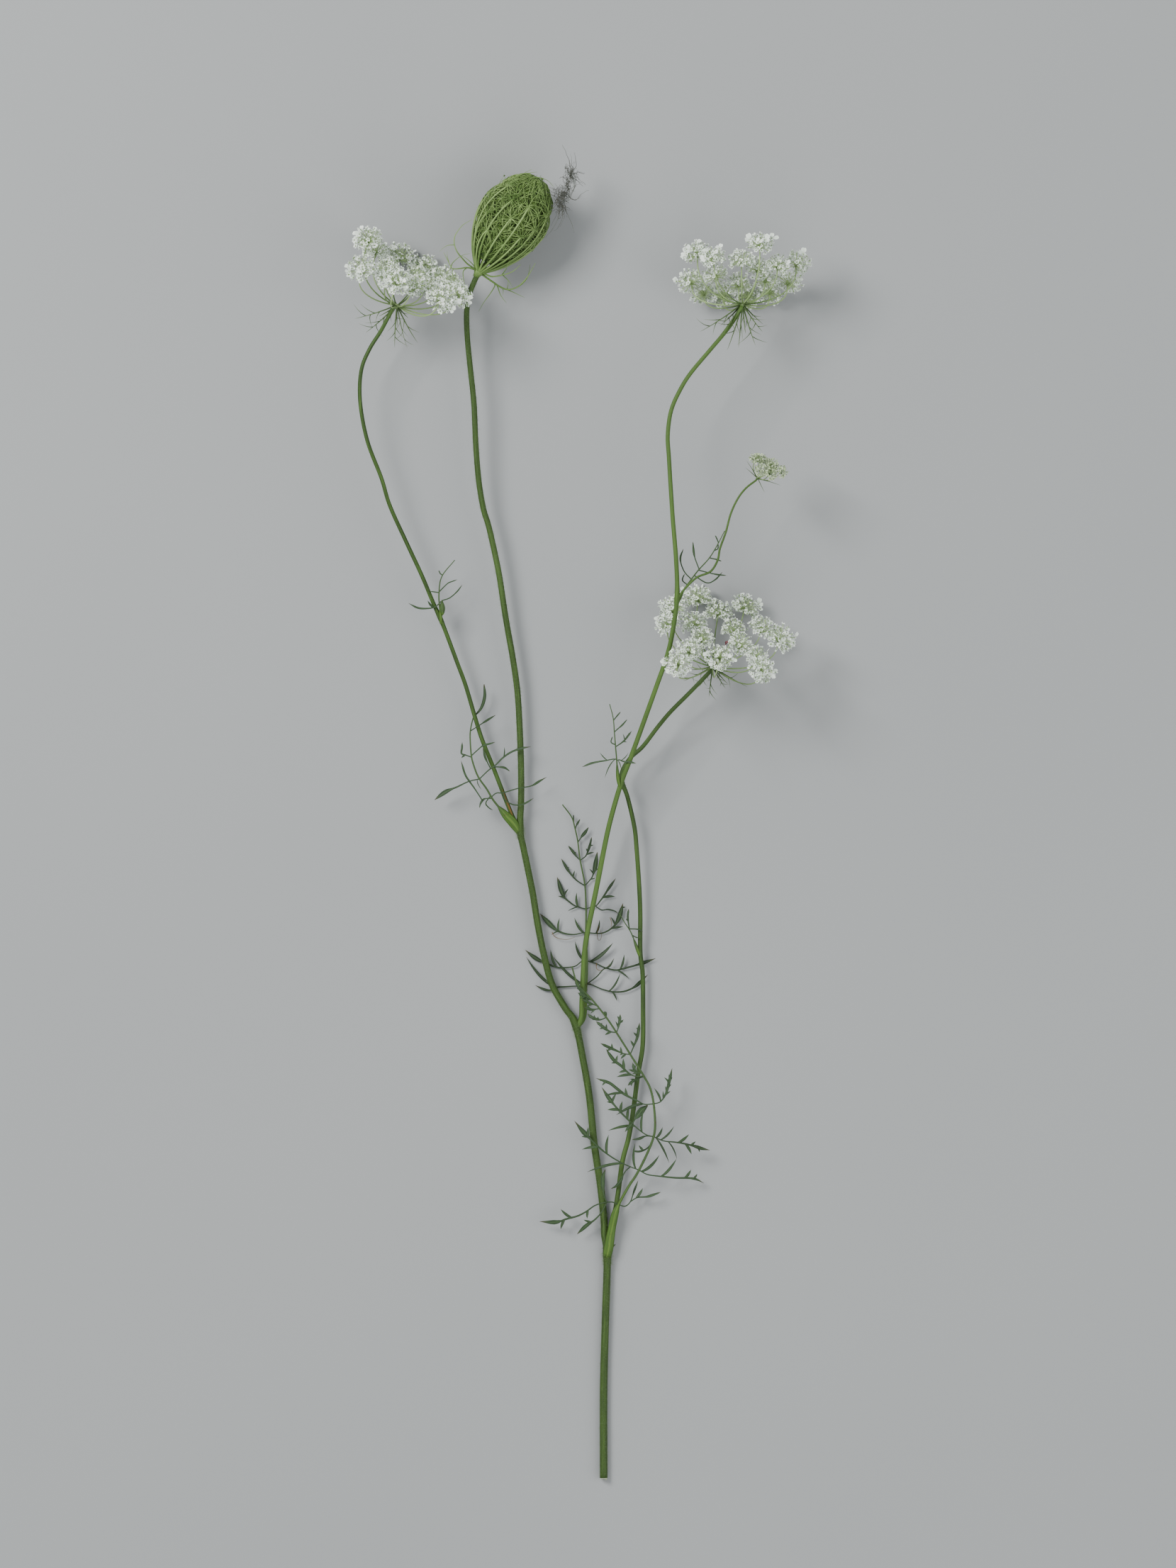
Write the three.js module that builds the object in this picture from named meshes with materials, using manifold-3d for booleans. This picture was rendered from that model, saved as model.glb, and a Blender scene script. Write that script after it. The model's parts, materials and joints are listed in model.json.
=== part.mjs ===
// Queen Anne's lace (wild carrot): one cut flowering stem that lies flat.
// Millimetres, +Z up. The stem lies along +Y with its cut end towards -Y, and the surface is Z = 0.
// Five heads: three open umbels, one small young umbel and one closed seed head.

import * as THREE from "three";
import { mergeGeometries, mergeVertices } from "three/addons/utils/BufferGeometryUtils.js";
import Module from "manifold-3d";

const wasm = await Module();
wasm.setup();

// ---- driving dimensions (mm, degrees) ----

const ORIGIN = [-1.8, -1.8, 0]; // from the drawing's zero to the middle of the part's footprint
const UP = new THREE.Vector3(0, 0, 1);
const BLADE = 0.62; // thickness of a leaf lobe
const GRID = 0.002; // corners are rounded to this
const STAGGER = 0.047; // step by which the side ribs of a leaf lie higher or lower

const STEM = { main: 1.6, neck: 1.15, lower: 0.85, middle: 1.0, upper: 0.82, twig: 0.45 }; // radii
const RAY = 0.42; // radius of an umbel ray
const HUB = 1.5; // radius of the receptacle where the rays meet
const UMBELLET_HUB = 0.8; // radius of the knob where an umbellet's flower stalks meet
const PETALS = 5;
const NOTCH = 0.42; // how far a floret narrows between two petals

const NEST_LENGTH = 48;
const NEST_RADIUS = 15.6;

const COLOURS = {
  stem: 0x6f8f4e,
  stemPale: 0x86a163,
  leaf: 0x5f8160,
  ray: 0x7fa05c,
  petal: 0xeef0ea,
  petalYoung: 0xdfe8cf,
  nest: 0x7d9e54,
  withered: 0x4f5b5c,
};

// ---- routes, each a list of [x, y, z] ----

const MAIN_ROUTE = [
  [12.5, -281, 1.65], [12.5, -243, 1.65], [13.2, -215, 1.7], [14, -187, 2], [13, -171, 2.2],
  [11, -156, 2.4], [8.5, -139.5, 2.5], [6.5, -120, 2.6], [4, -105, 2.8], [0.5, -88.5, 3],
  [-4, -81.5, 3.2], [-9.5, -71.5, 3.4], [-13, -58.5, 3.6], [-15.5, -46, 3.8], [-17.5, -33.5, 4],
  [-19.5, -23.5, 4.2], [-21.5, -14, 4.4], [-23, -6, 4.6], [-22.5, 6, 5], [-22.5, 19.5, 5.4],
  [-23, 35, 6], [-24, 52, 6.6], [-26, 66.5, 7.2], [-29, 83.5, 7.8], [-32, 103, 8.6],
  [-36, 121.5, 9.5], [-38.5, 130, 10], [-40.5, 142.5, 10.6], [-41.7, 158, 11.4],
  [-42.4, 174, 12.2], [-44, 189.5, 13], [-45.2, 202, 13.8], [-45.5, 212.5, 14.4],
  [-44.5, 220, 14.9], [-41.4, 227.6, 15.5],
];
const LOWER_ROUTE = [
  [16.9, -184.2, 2.1], [17.3, -176, 2.7], [18.6, -161, 3], [20.5, -146.5, 3], [23, -137, 3],
  [25, -125.5, 3], [27, -110, 3], [29, -98, 3], [29.2, -82, 3.2], [29, -67, 3.7],
  [28, -58, 4], [28, -42.5, 4.8], [27.5, -29.5, 5.5], [26.5, -15, 6.5], [25.5, -5, 7.2],
  [22.5, 8, 8], [20.2, 14, 8.4], [20.5, 19, 8.7], [24, 24.5, 9.2], [29, 29, 10],
  [35.5, 37.5, 11.6], [41, 44, 13], [48.5, 51.5, 14.8], [57.1, 60.4, 16.1],
];
const MIDDLE_ROUTE = [
  [3, -86.2, 3.6], [3.3, -79, 4.2], [3.8, -68, 5], [4.5, -57, 6], [6, -47.5, 7], [8, -38, 8],
  [10.5, -25.5, 9.5], [14.5, -5.5, 12.5], [19.5, 12.5, 16], [24, 24.5, 18.5], [30.5, 42.5, 22.5],
  [35.5, 56.5, 25.5], [39, 66.5, 27.5], [41.5, 77, 29], [43.4, 92, 30.8], [43, 108, 32],
  [41.5, 126.5, 32.5], [40, 150.5, 32.3], [39.5, 160.5, 32], [41, 171, 31.5], [45, 180, 31],
  [49.5, 187, 30.5], [57.5, 196.5, 30], [65, 205.5, 29], [70.4, 213.7, 27.95],
];
const UPPER_ROUTE = [
  [-25.8, -1.2, 5.3], [-29, 6.5, 5.5], [-34, 19.5, 6], [-39, 32, 6.6], [-42, 41.5, 7.2],
  [-46, 55, 8], [-49.5, 64.5, 8.8], [-55.5, 80.5, 10], [-59.5, 89.5, 11], [-64.5, 101.5, 12.2],
  [-71, 115.5, 13.4], [-78, 131, 14.6], [-81.5, 142.5, 15.6], [-87.5, 158.5, 17], [-90.5, 175, 18.2],
  [-90, 188, 19], [-86.5, 197, 19.6], [-81.5, 205, 20.1], [-76.2, 214.9, 20.7],
];
const TWIG_ROUTE = [
  [45.3, 93.8, 31.5], [48, 97, 31.8], [52, 100.5, 32.2], [57.5, 102.8, 32.6], [60.5, 107.5, 33],
  [61.5, 112.5, 33.3], [64, 119.5, 33.6], [66, 127, 33.6], [69, 133.5, 33.4], [72.5, 138, 33],
  [76.6, 141.2, 32.4],
];

// ---- leaves: a rib, and side ribs that end in a lobe and carry smaller lobes on both sides ----
// A side rib is [base, middle, tip, length of its lobes, pairs of lobes].

const LEAVES = {
  leaf_lower: {
    rib: [
      [16.4, -183, 4.9], [17.2, -176, 5.4], [19.5, -164, 6.6], [23.5, -156.5, 7.8],
      [26.5, -152, 8.6], [31, -143, 10], [34, -134.5, 11], [34, -125.5, 11.5],
      [32.5, -116.5, 11.5], [29.5, -110.5, 11], [24.5, -102.5, 10], [18.5, -93, 9],
      [13.5, -85.5, 8.8], [7.5, -78, 8.6], [1.5, -71.5, 8.6], [-1, -64, 8.8],
    ],
    radius: 0.62,
    sheath: { to: 0.3, width: 1.5 },
    sides: [
      [[19, -165, 6.4], [7.5, -166, 6.8], [-14.5, -172, 4.5], 5, 2],
      [[18, -168, 6], [12, -169.5, 6.4], [1.5, -177, 4.2], 4.5, 1],
      [[20, -163.5, 6.6], [27, -164.5, 6.2], [36.5, -160, 6.5], 4.5, 1],
      [[27.5, -150.5, 8.6], [15.5, -145, 7.8], [0.5, -130, 6.4], 6.5, 2],
      [[28, -151, 8.6], [40, -153, 8.8], [54.5, -155.5, 4], 7, 2],
      [[33.5, -136.5, 10.8], [23, -129.5, 9.6], [12, -115.5, 7.6], 6, 2],
      [[34.5, -137, 10.8], [44.5, -139, 10], [57.5, -142, 6.5], 5.5, 2],
      [[33.5, -123, 11.4], [24, -119.5, 10.8], [9, -111.5, 8], 5, 2],
      [[34.5, -123, 11.4], [38.5, -118, 10.8], [41.5, -107, 9], 5, 1],
      [[29, -110.5, 10.8], [21.5, -107, 10], [13.5, -99, 8], 4.5, 2],
      [[24, -101.5, 9.8], [18, -100.5, 9.2], [11, -96.5, 7.5], 3.6, 1],
      [[24.5, -101, 9.8], [26.5, -95, 9.4], [28, -87.5, 9], 3.6, 1],
      [[18, -92.5, 8.9], [14, -91.5, 8.6], [9.5, -87.5, 7.4], 3, 1],
      [[19, -92.5, 8.9], [20.4, -88.5, 8.8], [19.5, -83.5, 8], 2.6, 1],
      [[13.3, -85.2, 8.7], [10, -86, 8.4], [5.8, -84.5, 8.2], 0, 0],
      [[8.6, -79.4, 8.6], [6, -80.8, 8.4], [3.4, -80.6, 8.4], 0, 0],
      [[7.5, -78, 8.6], [8, -74, 8.6], [6.6, -70.6, 8.4], 0, 0],
    ],
  },
  leaf_middle: {
    rib: [
      [4, -85.4, 1.2], [4.2, -82.5, 1], [4.8, -75.5, 0.9], [5.2, -72, 0.9], [5.5, -62.5, 0.9],
      [5, -50.5, 0.9], [5, -40, 0.9], [4.5, -29.5, 1], [2.5, -19, 1.3], [1.5, -11, 1.6],
      [0.3, -5.5, 1.9], [-1, -1, 2.2], [-5, 4.5, 2.4],
    ],
    radius: 0.5,
    sheath: { to: 0.1, width: 1 },
    sides: [
      [[5, -73, 0.9], [-4.5, -74.5, 0.9], [-17, -72, 0.9], 5, 1],
      [[-2.4, -73.9, 0.9], [-5.5, -67.5, 0.9], [-9, -60.5, 0.9], 0, 0],
      [[-6.5, -74, 0.9], [-14, -69, 0.9], [-21, -60, 0.9], 0, 0],
      [[5.5, -72.5, 0.9], [18.5, -76, 1.2], [31.5, -67.5, 1.3], 7, 1],
      [[6, -71.5, 1.1], [11, -68, 2.2], [17, -61.5, 2.2], 0, 0],
      [[5.3, -63, 0.9], [-7, -66, 0.9], [-22, -57, 0.9], 6.5, 2],
      [[5.7, -62.5, 0.9], [17, -66, 1], [35, -60, 1.4], 7, 2],
      [[5, -50.8, 0.9], [-5.5, -51.5, 0.9], [-15, -42, 0.9], 6.5, 2],
      [[5.2, -50.5, 0.9], [15.5, -50.5, 1], [20.8, -37, 1.4], 6, 2],
      [[5, -40.4, 0.9], [-3.5, -38.5, 0.9], [-7.2, -26.5, 0.9], 5, 1],
      [[5.2, -40, 0.9], [11, -37, 1.1], [17.5, -26.5, 1.6], 5, 1],
      [[4.5, -30, 1], [-1, -27, 1], [-5.8, -18, 1], 4, 1],
      [[4.7, -29.5, 1], [8, -25, 1.3], [10, -15.5, 1.8], 3.8, 1],
      [[3, -19.5, 1.3], [0, -17.5, 1.3], [-2.8, -12.5, 1.3], 2.4, 1],
      [[3, -19, 1.3], [5.5, -16, 1.6], [7.5, -9, 2], 3, 1],
      [[1.6, -11.5, 1.6], [3.5, -8.5, 1.9], [6, -4.5, 2.3], 0, 0],
      [[0.4, -6, 1.9], [1.4, -3.5, 2], [2.6, -1, 2.2], 0, 0],
    ],
  },
  leaf_upper: {
    rib: [
      [-26.6, -2.4, 7.6], [-29.4, 0.5, 7.9], [-34, 6, 8.6], [-37, 11, 9.2], [-40.5, 16, 9.8],
      [-42.5, 21, 10.3], [-43.5, 25, 10.8], [-44, 31, 11.5], [-44, 35.5, 12],
      [-43, 40.5, 12.3], [-41, 43.5, 12.6], [-39, 48, 13], [-38, 54.5, 13.4],
    ],
    radius: 0.5,
    sheath: { to: 0.24, width: 1.65 },
    sides: [
      [[-36, 9, 9], [-38.5, 6.5, 8.6], [-40, 3, 8.2], 0, 0],
      [[-37.5, 12, 9.3], [-44.5, 14, 9.4], [-48.2, 24, 9.6], 0, 0],
      [[-34, 6.5, 8.6], [-24.5, 11, 8.8], [-11.5, 16.5, 8.2], 4, 1],
      [[-32.5, 4.5, 8.4], [-25, 3, 8.6], [-16.5, 8, 8], 3, 1],
      [[-40.5, 15.5, 9.8], [-48.5, 13.5, 9], [-59.5, 6, 7.6], 4, 1],
      [[-41, 17, 9.9], [-29, 26, 9.4], [-18, 29.5, 8.8], 4, 1],
      [[-43.4, 24, 10.7], [-47, 26, 10.7], [-47.8, 31.5, 10.7], 0, 0],
      [[-43.7, 26.6, 11], [-39.5, 30.5, 10.6], [-33, 31, 9.8], 3, 1],
      [[-44, 34.5, 11.9], [-39.5, 38.5, 11.4], [-33, 42.8, 11], 0, 0],
    ],
  },
  leaf_bud: {
    rib: [
      [-56.2, 83, 12.1], [-57, 88.5, 12.6], [-57.2, 94, 12.9], [-56, 101, 13], [-50.5, 108, 12.6],
    ],
    radius: 0.36,
    sheath: { to: 0.2, width: 0.6 },
    bud: { at: [-55.6, 87, 12.4], radius: 1.05, length: 4.4 },
    sides: [
      [[-56.2, 100.6, 13], [-57.2, 102.4, 13], [-57.8, 104.5, 12.8], 0, 0],
      [[-57.1, 94.2, 12.9], [-54.5, 98, 12.5], [-49, 100.4, 12], 2.6, 1],
      [[-57.2, 94, 12.9], [-59.5, 94.8, 13.2], [-62, 94.8, 13.2], 0, 0],
      [[-56.9, 88.6, 12.6], [-51, 91.5, 12.2], [-47, 98, 11.4], 2.6, 1],
      [[-57, 88.2, 12.6], [-62.5, 85.5, 13], [-70, 90, 12], 3.4, 1],
    ],
  },
  leaf_fork: {
    rib: [
      [18.9, 13.8, 17.6], [18.4, 17, 18.2], [18, 23, 18.8], [17.5, 29, 19.2], [17, 35, 19.4],
      [16.5, 41, 19.4], [15, 47, 19.2],
    ],
    radius: 0.36,
    sheath: { to: 0.28, width: 0.75 },
    sides: [
      [[18, 23, 18.8], [12.5, 24, 18.4], [3.5, 20.5, 17.4], 4, 1],
      [[18.1, 22.8, 18.8], [21.5, 22, 20.2], [27, 22, 20.8], 3.2, 1],
      [[17.6, 28.4, 19.1], [20.5, 31, 19.8], [25, 36, 19.8], 2.6, 1],
      [[17.4, 29.4, 19.2], [15.5, 31, 19.2], [16, 34, 19], 0, 0],
      [[17, 35.2, 19.4], [19.5, 37.5, 19.6], [22.8, 41, 19.6], 0, 0],
      [[16.6, 40, 19.4], [18, 42, 19.6], [19.8, 44.4, 19.6], 0, 0],
    ],
  },
  leaf_twig: {
    rib: [
      [44.9, 92.2, 29.2], [46.6, 95.5, 29.2], [49.4, 99.5, 29.2], [52.5, 103.5, 29.2],
      [57, 108.5, 29.4], [60.4, 114, 29.8], [63.5, 120, 30.4],
    ],
    radius: 0.36,
    sheath: { to: 0.15, width: 0.5 },
    sides: [
      [[49.2, 99.4, 29.2], [44.8, 105.5, 28.8], [46, 113, 28.4], 0, 0],
      [[52.4, 103.4, 29.2], [50.4, 109, 28.8], [50, 116, 28.4], 0, 0],
      [[52.8, 103.7, 29.2], [58, 102, 28.8], [65, 101, 28.4], 3.6, 1],
      [[57, 108.4, 29.4], [59.6, 108, 29.2], [63, 107, 29], 0, 0],
      [[60.2, 113.6, 29.8], [59.6, 116, 29.6], [59, 119, 29.4], 0, 0],
    ],
  },
  leaf_small: {
    rib: [[26.4, -57, 5.2], [24.2, -50, 5.8], [21.4, -45.5, 6.2], [19, -41.4, 6.2]],
    radius: 0.34,
    sheath: { to: 0.4, width: 0.6 },
    sides: [
      [[23.8, -49, 5.8], [21.8, -44.5, 6.8], [23, -39.5, 7.2], 0, 0],
      [[24.6, -51, 5.8], [26.5, -48.5, 6.6], [29.4, -49.6, 7], 0, 0],
    ],
  },
};

// ---- umbels: an umbellet is [azimuth, distance from the axis, height, radius, petal length] ----
// Azimuth 0 is to the right, 90 the side that faces up, and the axis leans to the right and up.

const OPEN_UMBELS = {
  left: {
    hub: [-75.5, 216.5, 21.5],
    lean: 21,
    tilt: 16,
    umbellets: [
      [140, 24, 12.2, 6.2, 3.6], [183, 21, 17.5, 5.8, 3.4], [97, 22, 14.6, 6, 2.6],
      [45, 23.5, 13, 6.2, 3.6], [118, 15, 12.4, 5.4, 2.4], [72, 13, 13, 5.4, 2.4],
      [253, 21.5, 14, 6, 3.2], [283, 21.5, 13.4, 6, 3.2], [312, 21, 13, 5.8, 3.2],
      [339, 20, 14, 5.4, 2.8], [15, 23, 14.4, 5.4, 3.2], [220, 21, 14.4, 5.8, 3.2],
      [205, 10, 12, 5.2, 2.2], [288, 10.5, 11.6, 5.2, 2.2], [15, 9, 11.8, 5.2, 2.2],
    ],
    bracts: [
      [150, 52, 15, 2], [122, 40, 14, 2], [96, 34, 16, 1], [70, 40, 15, 1], [48, 52, 13, 2],
      [190, 60, 17, 1], [225, 50, 12, 1], [300, 48, 12, 1], [345, 58, 12, 1],
    ],
  },
  right: {
    hub: [71, 215.5, 27.5],
    lean: 0,
    tilt: -17,
    umbellets: [
      [157, 20.5, 19, 6.2, 3.6], [127, 20, 14.2, 5.6, 3.2], [92, 12.5, 14, 5.6, 2.4],
      [70, 21, 18.6, 6, 3.6], [36, 18, 12.6, 5.6, 2.6], [8, 22.8, 16.2, 6, 3.6],
      [333, 21.5, 12.6, 5.8, 2.8], [44, 8.6, 13, 5, 2.2], [196, 22, 11.4, 5.8, 3],
      [222, 21.5, 9.4, 5.8, 3], [192, 11.4, 13, 5.4, 2.2], [330, 11, 12, 5.4, 2.2],
      [248, 20.5, 10, 5.8, 2.8], [278, 20, 10, 5.8, 2.8], [305, 20.5, 10.6, 5.8, 2.8],
      [260, 8.5, 11, 5.2, 2.2],
    ],
    bracts: [
      [165, 58, 21, 2], [140, 48, 15, 1], [118, 46, 17, 1], [60, 40, 17, 2], [38, 44, 19, 2],
      [12, 55, 14, 1], [86, 30, 14, 1], [330, 50, 12, 1], [210, 52, 13, 1],
    ],
  },
  lower: {
    hub: [58.5, 62.5, 16.8],
    lean: 10,
    tilt: 35,
    umbellets: [
      [123, 27, 13.4, 6.2, 2.8], [84, 18.6, 17.6, 6.2, 2.8], [42, 26.6, 14.6, 6.2, 3.4],
      [356, 25.4, 18, 6.4, 3.6], [190, 21.6, 14, 5.2, 2.8], [134, 15.6, 13, 5.4, 2.4],
      [266, 20.6, 12.6, 6, 2.4], [246, 26.2, 15.4, 6.2, 3.4], [291, 25, 15.6, 6.2, 3.6],
      [321, 22.4, 13, 5.8, 2.6], [20, 18, 12.6, 5.4, 2.4], [215, 25, 14.4, 6, 3.2],
      [225, 15.2, 11.6, 5.6, 2.2], [296, 13.6, 11, 5.6, 2.2], [200, 6.8, 10.6, 5.4, 2.2],
      [345, 9.8, 10.8, 5.4, 2.2],
    ],
    bracts: [
      [160, 52, 14, 2], [125, 50, 13, 2], [92, 44, 15, 1], [62, 50, 14, 1], [30, 58, 17, 1],
      [200, 52, 13, 1], [350, 52, 12, 1], [250, 42, 11, 1],
    ],
  },
};
const SMALL_UMBEL = {
  hub: [77.4, 142.2, 32.2],
  lean: 34,
  tilt: 18,
  umbellets: [
    [175, 7, 5.8, 2.8, 1.2], [120, 6.2, 5, 2.8, 1.2], [60, 6.2, 4.8, 2.8, 1.2],
    [5, 7.2, 5.4, 2.8, 1.2], [300, 6.2, 5.2, 2.8, 1.2], [238, 6.2, 5.4, 2.8, 1.2],
    [110, 0.6, 5.6, 2.8, 1.1],
  ],
  bracts: [[30, 66, 7, 0], [140, 60, 5, 0], [260, 60, 5, 0]],
};
const SEED_HEAD = {
  hub: [-40.2, 230, 16.4],
  lean: 32.7,
  tilt: 4,
  // stars of fruit stalks: [azimuth, distance along the axis]
  stars: [
    [134, 37.6], [107, 33.6], [76, 34.8], [91, 26.6], [134, 23], [46, 28], [76, 16], [25, 25],
    [31, 37], [178, 29], [208, 22], [240, 34], [275, 23], [310, 34], [345, 26],
  ],
  // bracts: [azimuth, reach from the axis, rise, lobes]
  bracts: [
    [172, 12.5, 15, 2], [140, 12, 4, 1], [100, 13, 3, 1], [20, 18, 15, 2], [50, 15.5, 5, 1],
    [350, 16.5, 10, 1], [200, 11, 8, 1],
  ],
};
const TUFT = {
  core: [-6.4, 262.6, 20],
  radius: 1.5,
  threads: [
    [[-3.6, 272, 20.5], [-6.6, 284.6, 19]], [[-2, 270, 20], [-1.6, 280.4, 18.5]],
    [[-1.4, 266, 20.8], [2.2, 268.4, 20.4]], [[-1, 261.4, 19.6], [4, 265.4, 19]],
    [[-4.4, 256, 20.6], [-1, 246.4, 19]], [[-6.4, 255, 19.4], [-8.6, 248.6, 18]],
    [[-8, 256.4, 21], [-10.6, 249.4, 20.6]], [[-9, 266, 20.8], [-10.4, 269.4, 20.2]],
    [[-2.8, 264.6, 19], [-1, 262, 17.8]], [[-5.6, 267, 18.6], [-4.4, 276.6, 17.6]],
  ],
};

// ---- making and joining solids ----

const vector = (p) => new THREE.Vector3(...p);
const radians = THREE.MathUtils.degToRad;

// A closed mesh: its corners are shared, so they stay together when they are moved.
function closed(geometry) {
  geometry.deleteAttribute("normal");
  geometry.deleteAttribute("uv");
  return mergeVertices(geometry, 1e-4);
}

function solidOf(geometry) {
  return new wasm.Manifold(
    new wasm.Mesh({
      numProp: 3,
      vertProperties: new Float32Array(geometry.attributes.position.array),
      triVerts: new Uint32Array(geometry.index.array),
    }),
  );
}

// Joins closed meshes that share a face: that face goes, and so do faces without an area.
function weld(geometries) {
  const whole = mergeVertices(mergeGeometries(geometries), 1e-4);
  const faces = new Map();
  for (let i = 0; i < whole.index.count; i += 3) {
    const corners = [0, 1, 2].map((k) => whole.index.getX(i + k));
    const key = [...corners].sort((a, b) => a - b).join();
    if (new Set(corners).size < 3) continue;
    if (faces.has(key)) faces.delete(key);
    else faces.set(key, corners);
  }
  whole.setIndex([...faces.values()].flat());
  return whole;
}

// Joins solids and drops a scrap that nothing holds.
function fuse(solids) {
  const pieces = wasm.Manifold.union(solids).decompose();
  return pieces.reduce((largest, piece) => (piece.volume() > largest.volume() ? piece : largest));
}

// The surface that the stem lies on: what would reach below it is cut flat.
const BELOW = solidOf(closed(new THREE.BoxGeometry(800, 800, 20)).translate(0, 0, -10));

// The corners are rounded to a fine grid, so that no two of them nearly coincide.
function geometryOf(solid) {
  const { vertProperties, triVerts } = solid.subtract(BELOW).getMesh();
  const rounded = vertProperties.map((value) => Math.round(value / GRID) * GRID);
  const geometry = new THREE.BufferGeometry();
  geometry.setAttribute("position", new THREE.BufferAttribute(rounded, 3));
  geometry.setIndex(new THREE.BufferAttribute(triVerts, 1));
  return weld([geometry]);
}

// A rod or a blade: the rings of a cylinder are moved onto a curve. Its width and thickness
// are functions of the share of the way along, and a blade lies square to the vector `face`.
function rod(curve, { width, thickness = width, sides = 6, steps = 12, pointed = false, face = UP }) {
  const geometry = closed(new THREE.CylinderGeometry(pointed ? 0 : 1, 1, 1, sides, steps));
  const place = geometry.attributes.position;
  const along = new THREE.Vector3();
  for (let i = 0; i < place.count; i++) {
    const share = THREE.MathUtils.clamp(place.getY(i) + 0.5, 0, 1);
    curve.getTangentAt(share, along);
    const across = new THREE.Vector3().crossVectors(along, face).normalize();
    const out = new THREE.Vector3().crossVectors(across, along);
    const point = curve.getPointAt(share);
    const full = pointed ? 1 / Math.max(1e-6, 1 - share) : 1;
    point.addScaledVector(across, place.getX(i) * full * width(share));
    point.addScaledVector(out, place.getZ(i) * full * thickness(share));
    place.setXYZ(i, ...point);
  }
  return solidOf(geometry);
}

const smooth = (points) => new THREE.CatmullRomCurve3(points.map(vector), false, "centripetal");
const bend = (a, b, c) => new THREE.QuadraticBezierCurve3(a, b, c);
const through = (a, b, c) =>
  bend(a, b.clone().multiplyScalar(2).addScaledVector(a, -0.5).addScaledVector(c, -0.5), c);

// Turns an octahedron so that one face looks along +X and the next one is turned towards +Y.
const ON_ITS_FACE = (() => {
  const [top, beside] = [vector([1, 1, 1]).normalize(), vector([-2, 1, 1]).normalize()];
  return new THREE.Matrix4().makeBasis(top, beside, top.clone().cross(beside)).transpose();
})();

// A direction that is square to no part of a route that runs roughly along `along`.
function sideways(along) {
  const away = Math.abs(along.z) < 0.8 ? UP : new THREE.Vector3(1, 0, 0);
  return new THREE.Vector3().crossVectors(along, away).cross(along).normalize();
}

// A thin three-sided spike, for threads, flower stalks and lobes of bracts.
function spike(from, to, radius, sag = null, steps = 1) {
  const middle = sag || from.clone().lerp(to, 0.5);
  const face = sideways(to.clone().sub(from).normalize());
  const width = (share) => radius * (1 - share);
  return rod(bend(from, middle, to), { width, sides: 3, steps, pointed: true, face });
}

// ---- stems ----

function stem(route, radius, { sides = 5, steps, swell = [], taper = 1 }) {
  const width = (share) => {
    const bump = swell.some((at) => Math.abs(share - at) < 0.5 / steps) ? 1.2 : 1;
    return radius * bump * (1 - (1 - taper) * share);
  };
  return rod(smooth(route), { width, sides, steps });
}

// ---- leaves ----

// The outline of a side rib, as [share of the way along, distance to the side]: pairs of pointed
// lobes, and a long one at the end. Both sides have their corners at the same shares.
function sideOutline(length, lobeLength, pairs, neck) {
  const half = 0.34;
  const foot = 0.5 / length;
  const edge = [[0, half]];
  for (let i = 0; i < pairs; i++) {
    const share = neck * (0.32 + (0.72 * (i + 0.4)) / pairs);
    const long = lobeLength * (1 - 0.4 * share);
    edge.push(
      [share - foot, half],
      [share + (0.66 * long) / length, 0.75 * long],
      [share + foot + (0.1 * long) / length, half],
    );
  }
  edge.push([neck + 0.4 * (1 - neck), 0.6 + 0.018 * length]);
  return [...edge, [1, 0], ...edge.reverse().map(([share, out]) => [share, -out])];
}

// A side rib with its lobes: the outline is laid along the rib's curve, given its thickness, and
// then each corner goes to the height that the curve has there.
function sideRib([base, middle, tip, lobeLength, pairs], ribCurve, lift) {
  const onRib = nearest(ribCurve.getSpacedPoints(80), vector(base));
  const start = onRib.distanceTo(vector(base)) < 2 ? onRib : vector(base);
  const curve = through(start, vector(middle), vector(tip));
  const length = curve.getLength();
  const neck = THREE.MathUtils.clamp(1 - 5.5 / length, 0.25, 0.62);
  const corners = sideOutline(length, lobeLength, pairs, neck).map(([share, out]) => {
    const side = new THREE.Vector3().crossVectors(UP, curve.getTangentAt(share)).normalize();
    return curve.getPointAt(share).addScaledVector(side, out);
  });
  const flat = corners.map(({ x, y }) => new THREE.Vector3(x, y, 0));
  const blade = closed(
    new THREE.ExtrudeGeometry(new THREE.Shape(flat), { depth: BLADE, bevelEnabled: false }),
  );
  const place = blade.attributes.position;
  for (let i = 0; i < place.count; i++) {
    const corner = flat.indexOf(nearest(flat, new THREE.Vector3(place.getX(i), place.getY(i), 0)));
    place.setZ(i, place.getZ(i) + corners[corner].z - BLADE / 2 + lift);
  }
  return solidOf(blade);
}

// The point of a list that lies nearest to a given one.
const nearest = (points, to) =>
  points.reduce((a, b) => (b.distanceToSquared(to) < a.distanceToSquared(to) ? b : a));

function leaf({ rib, radius, sheath, sides, bud }) {
  const ribCurve = smooth(rib);
  const width = (share) => {
    const sheathed = share < sheath.to ? sheath.width - radius : 0;
    return (radius + sheathed * (1 - share / sheath.to)) * (1 - 0.35 * share);
  };
  const thickness = (share) => radius * (1 - 0.3 * share);
  const steps = Math.max(5, Math.round(ribCurve.getLength() / 9));
  const pieces = [rod(ribCurve, { width, thickness, sides: 4, steps, pointed: true })];
  sides.forEach((side, i) => pieces.push(sideRib(side, ribCurve, STAGGER * (((3 * i) % 7) - 3))));
  if (bud) {
    const egg = closed(new THREE.SphereGeometry(1, 6, 4));
    egg.scale(bud.radius, bud.length / 2, bud.radius).translate(...bud.at);
    pieces.push(solidOf(egg));
  }
  return fuse(pieces);
}

// ---- umbels ----

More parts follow.
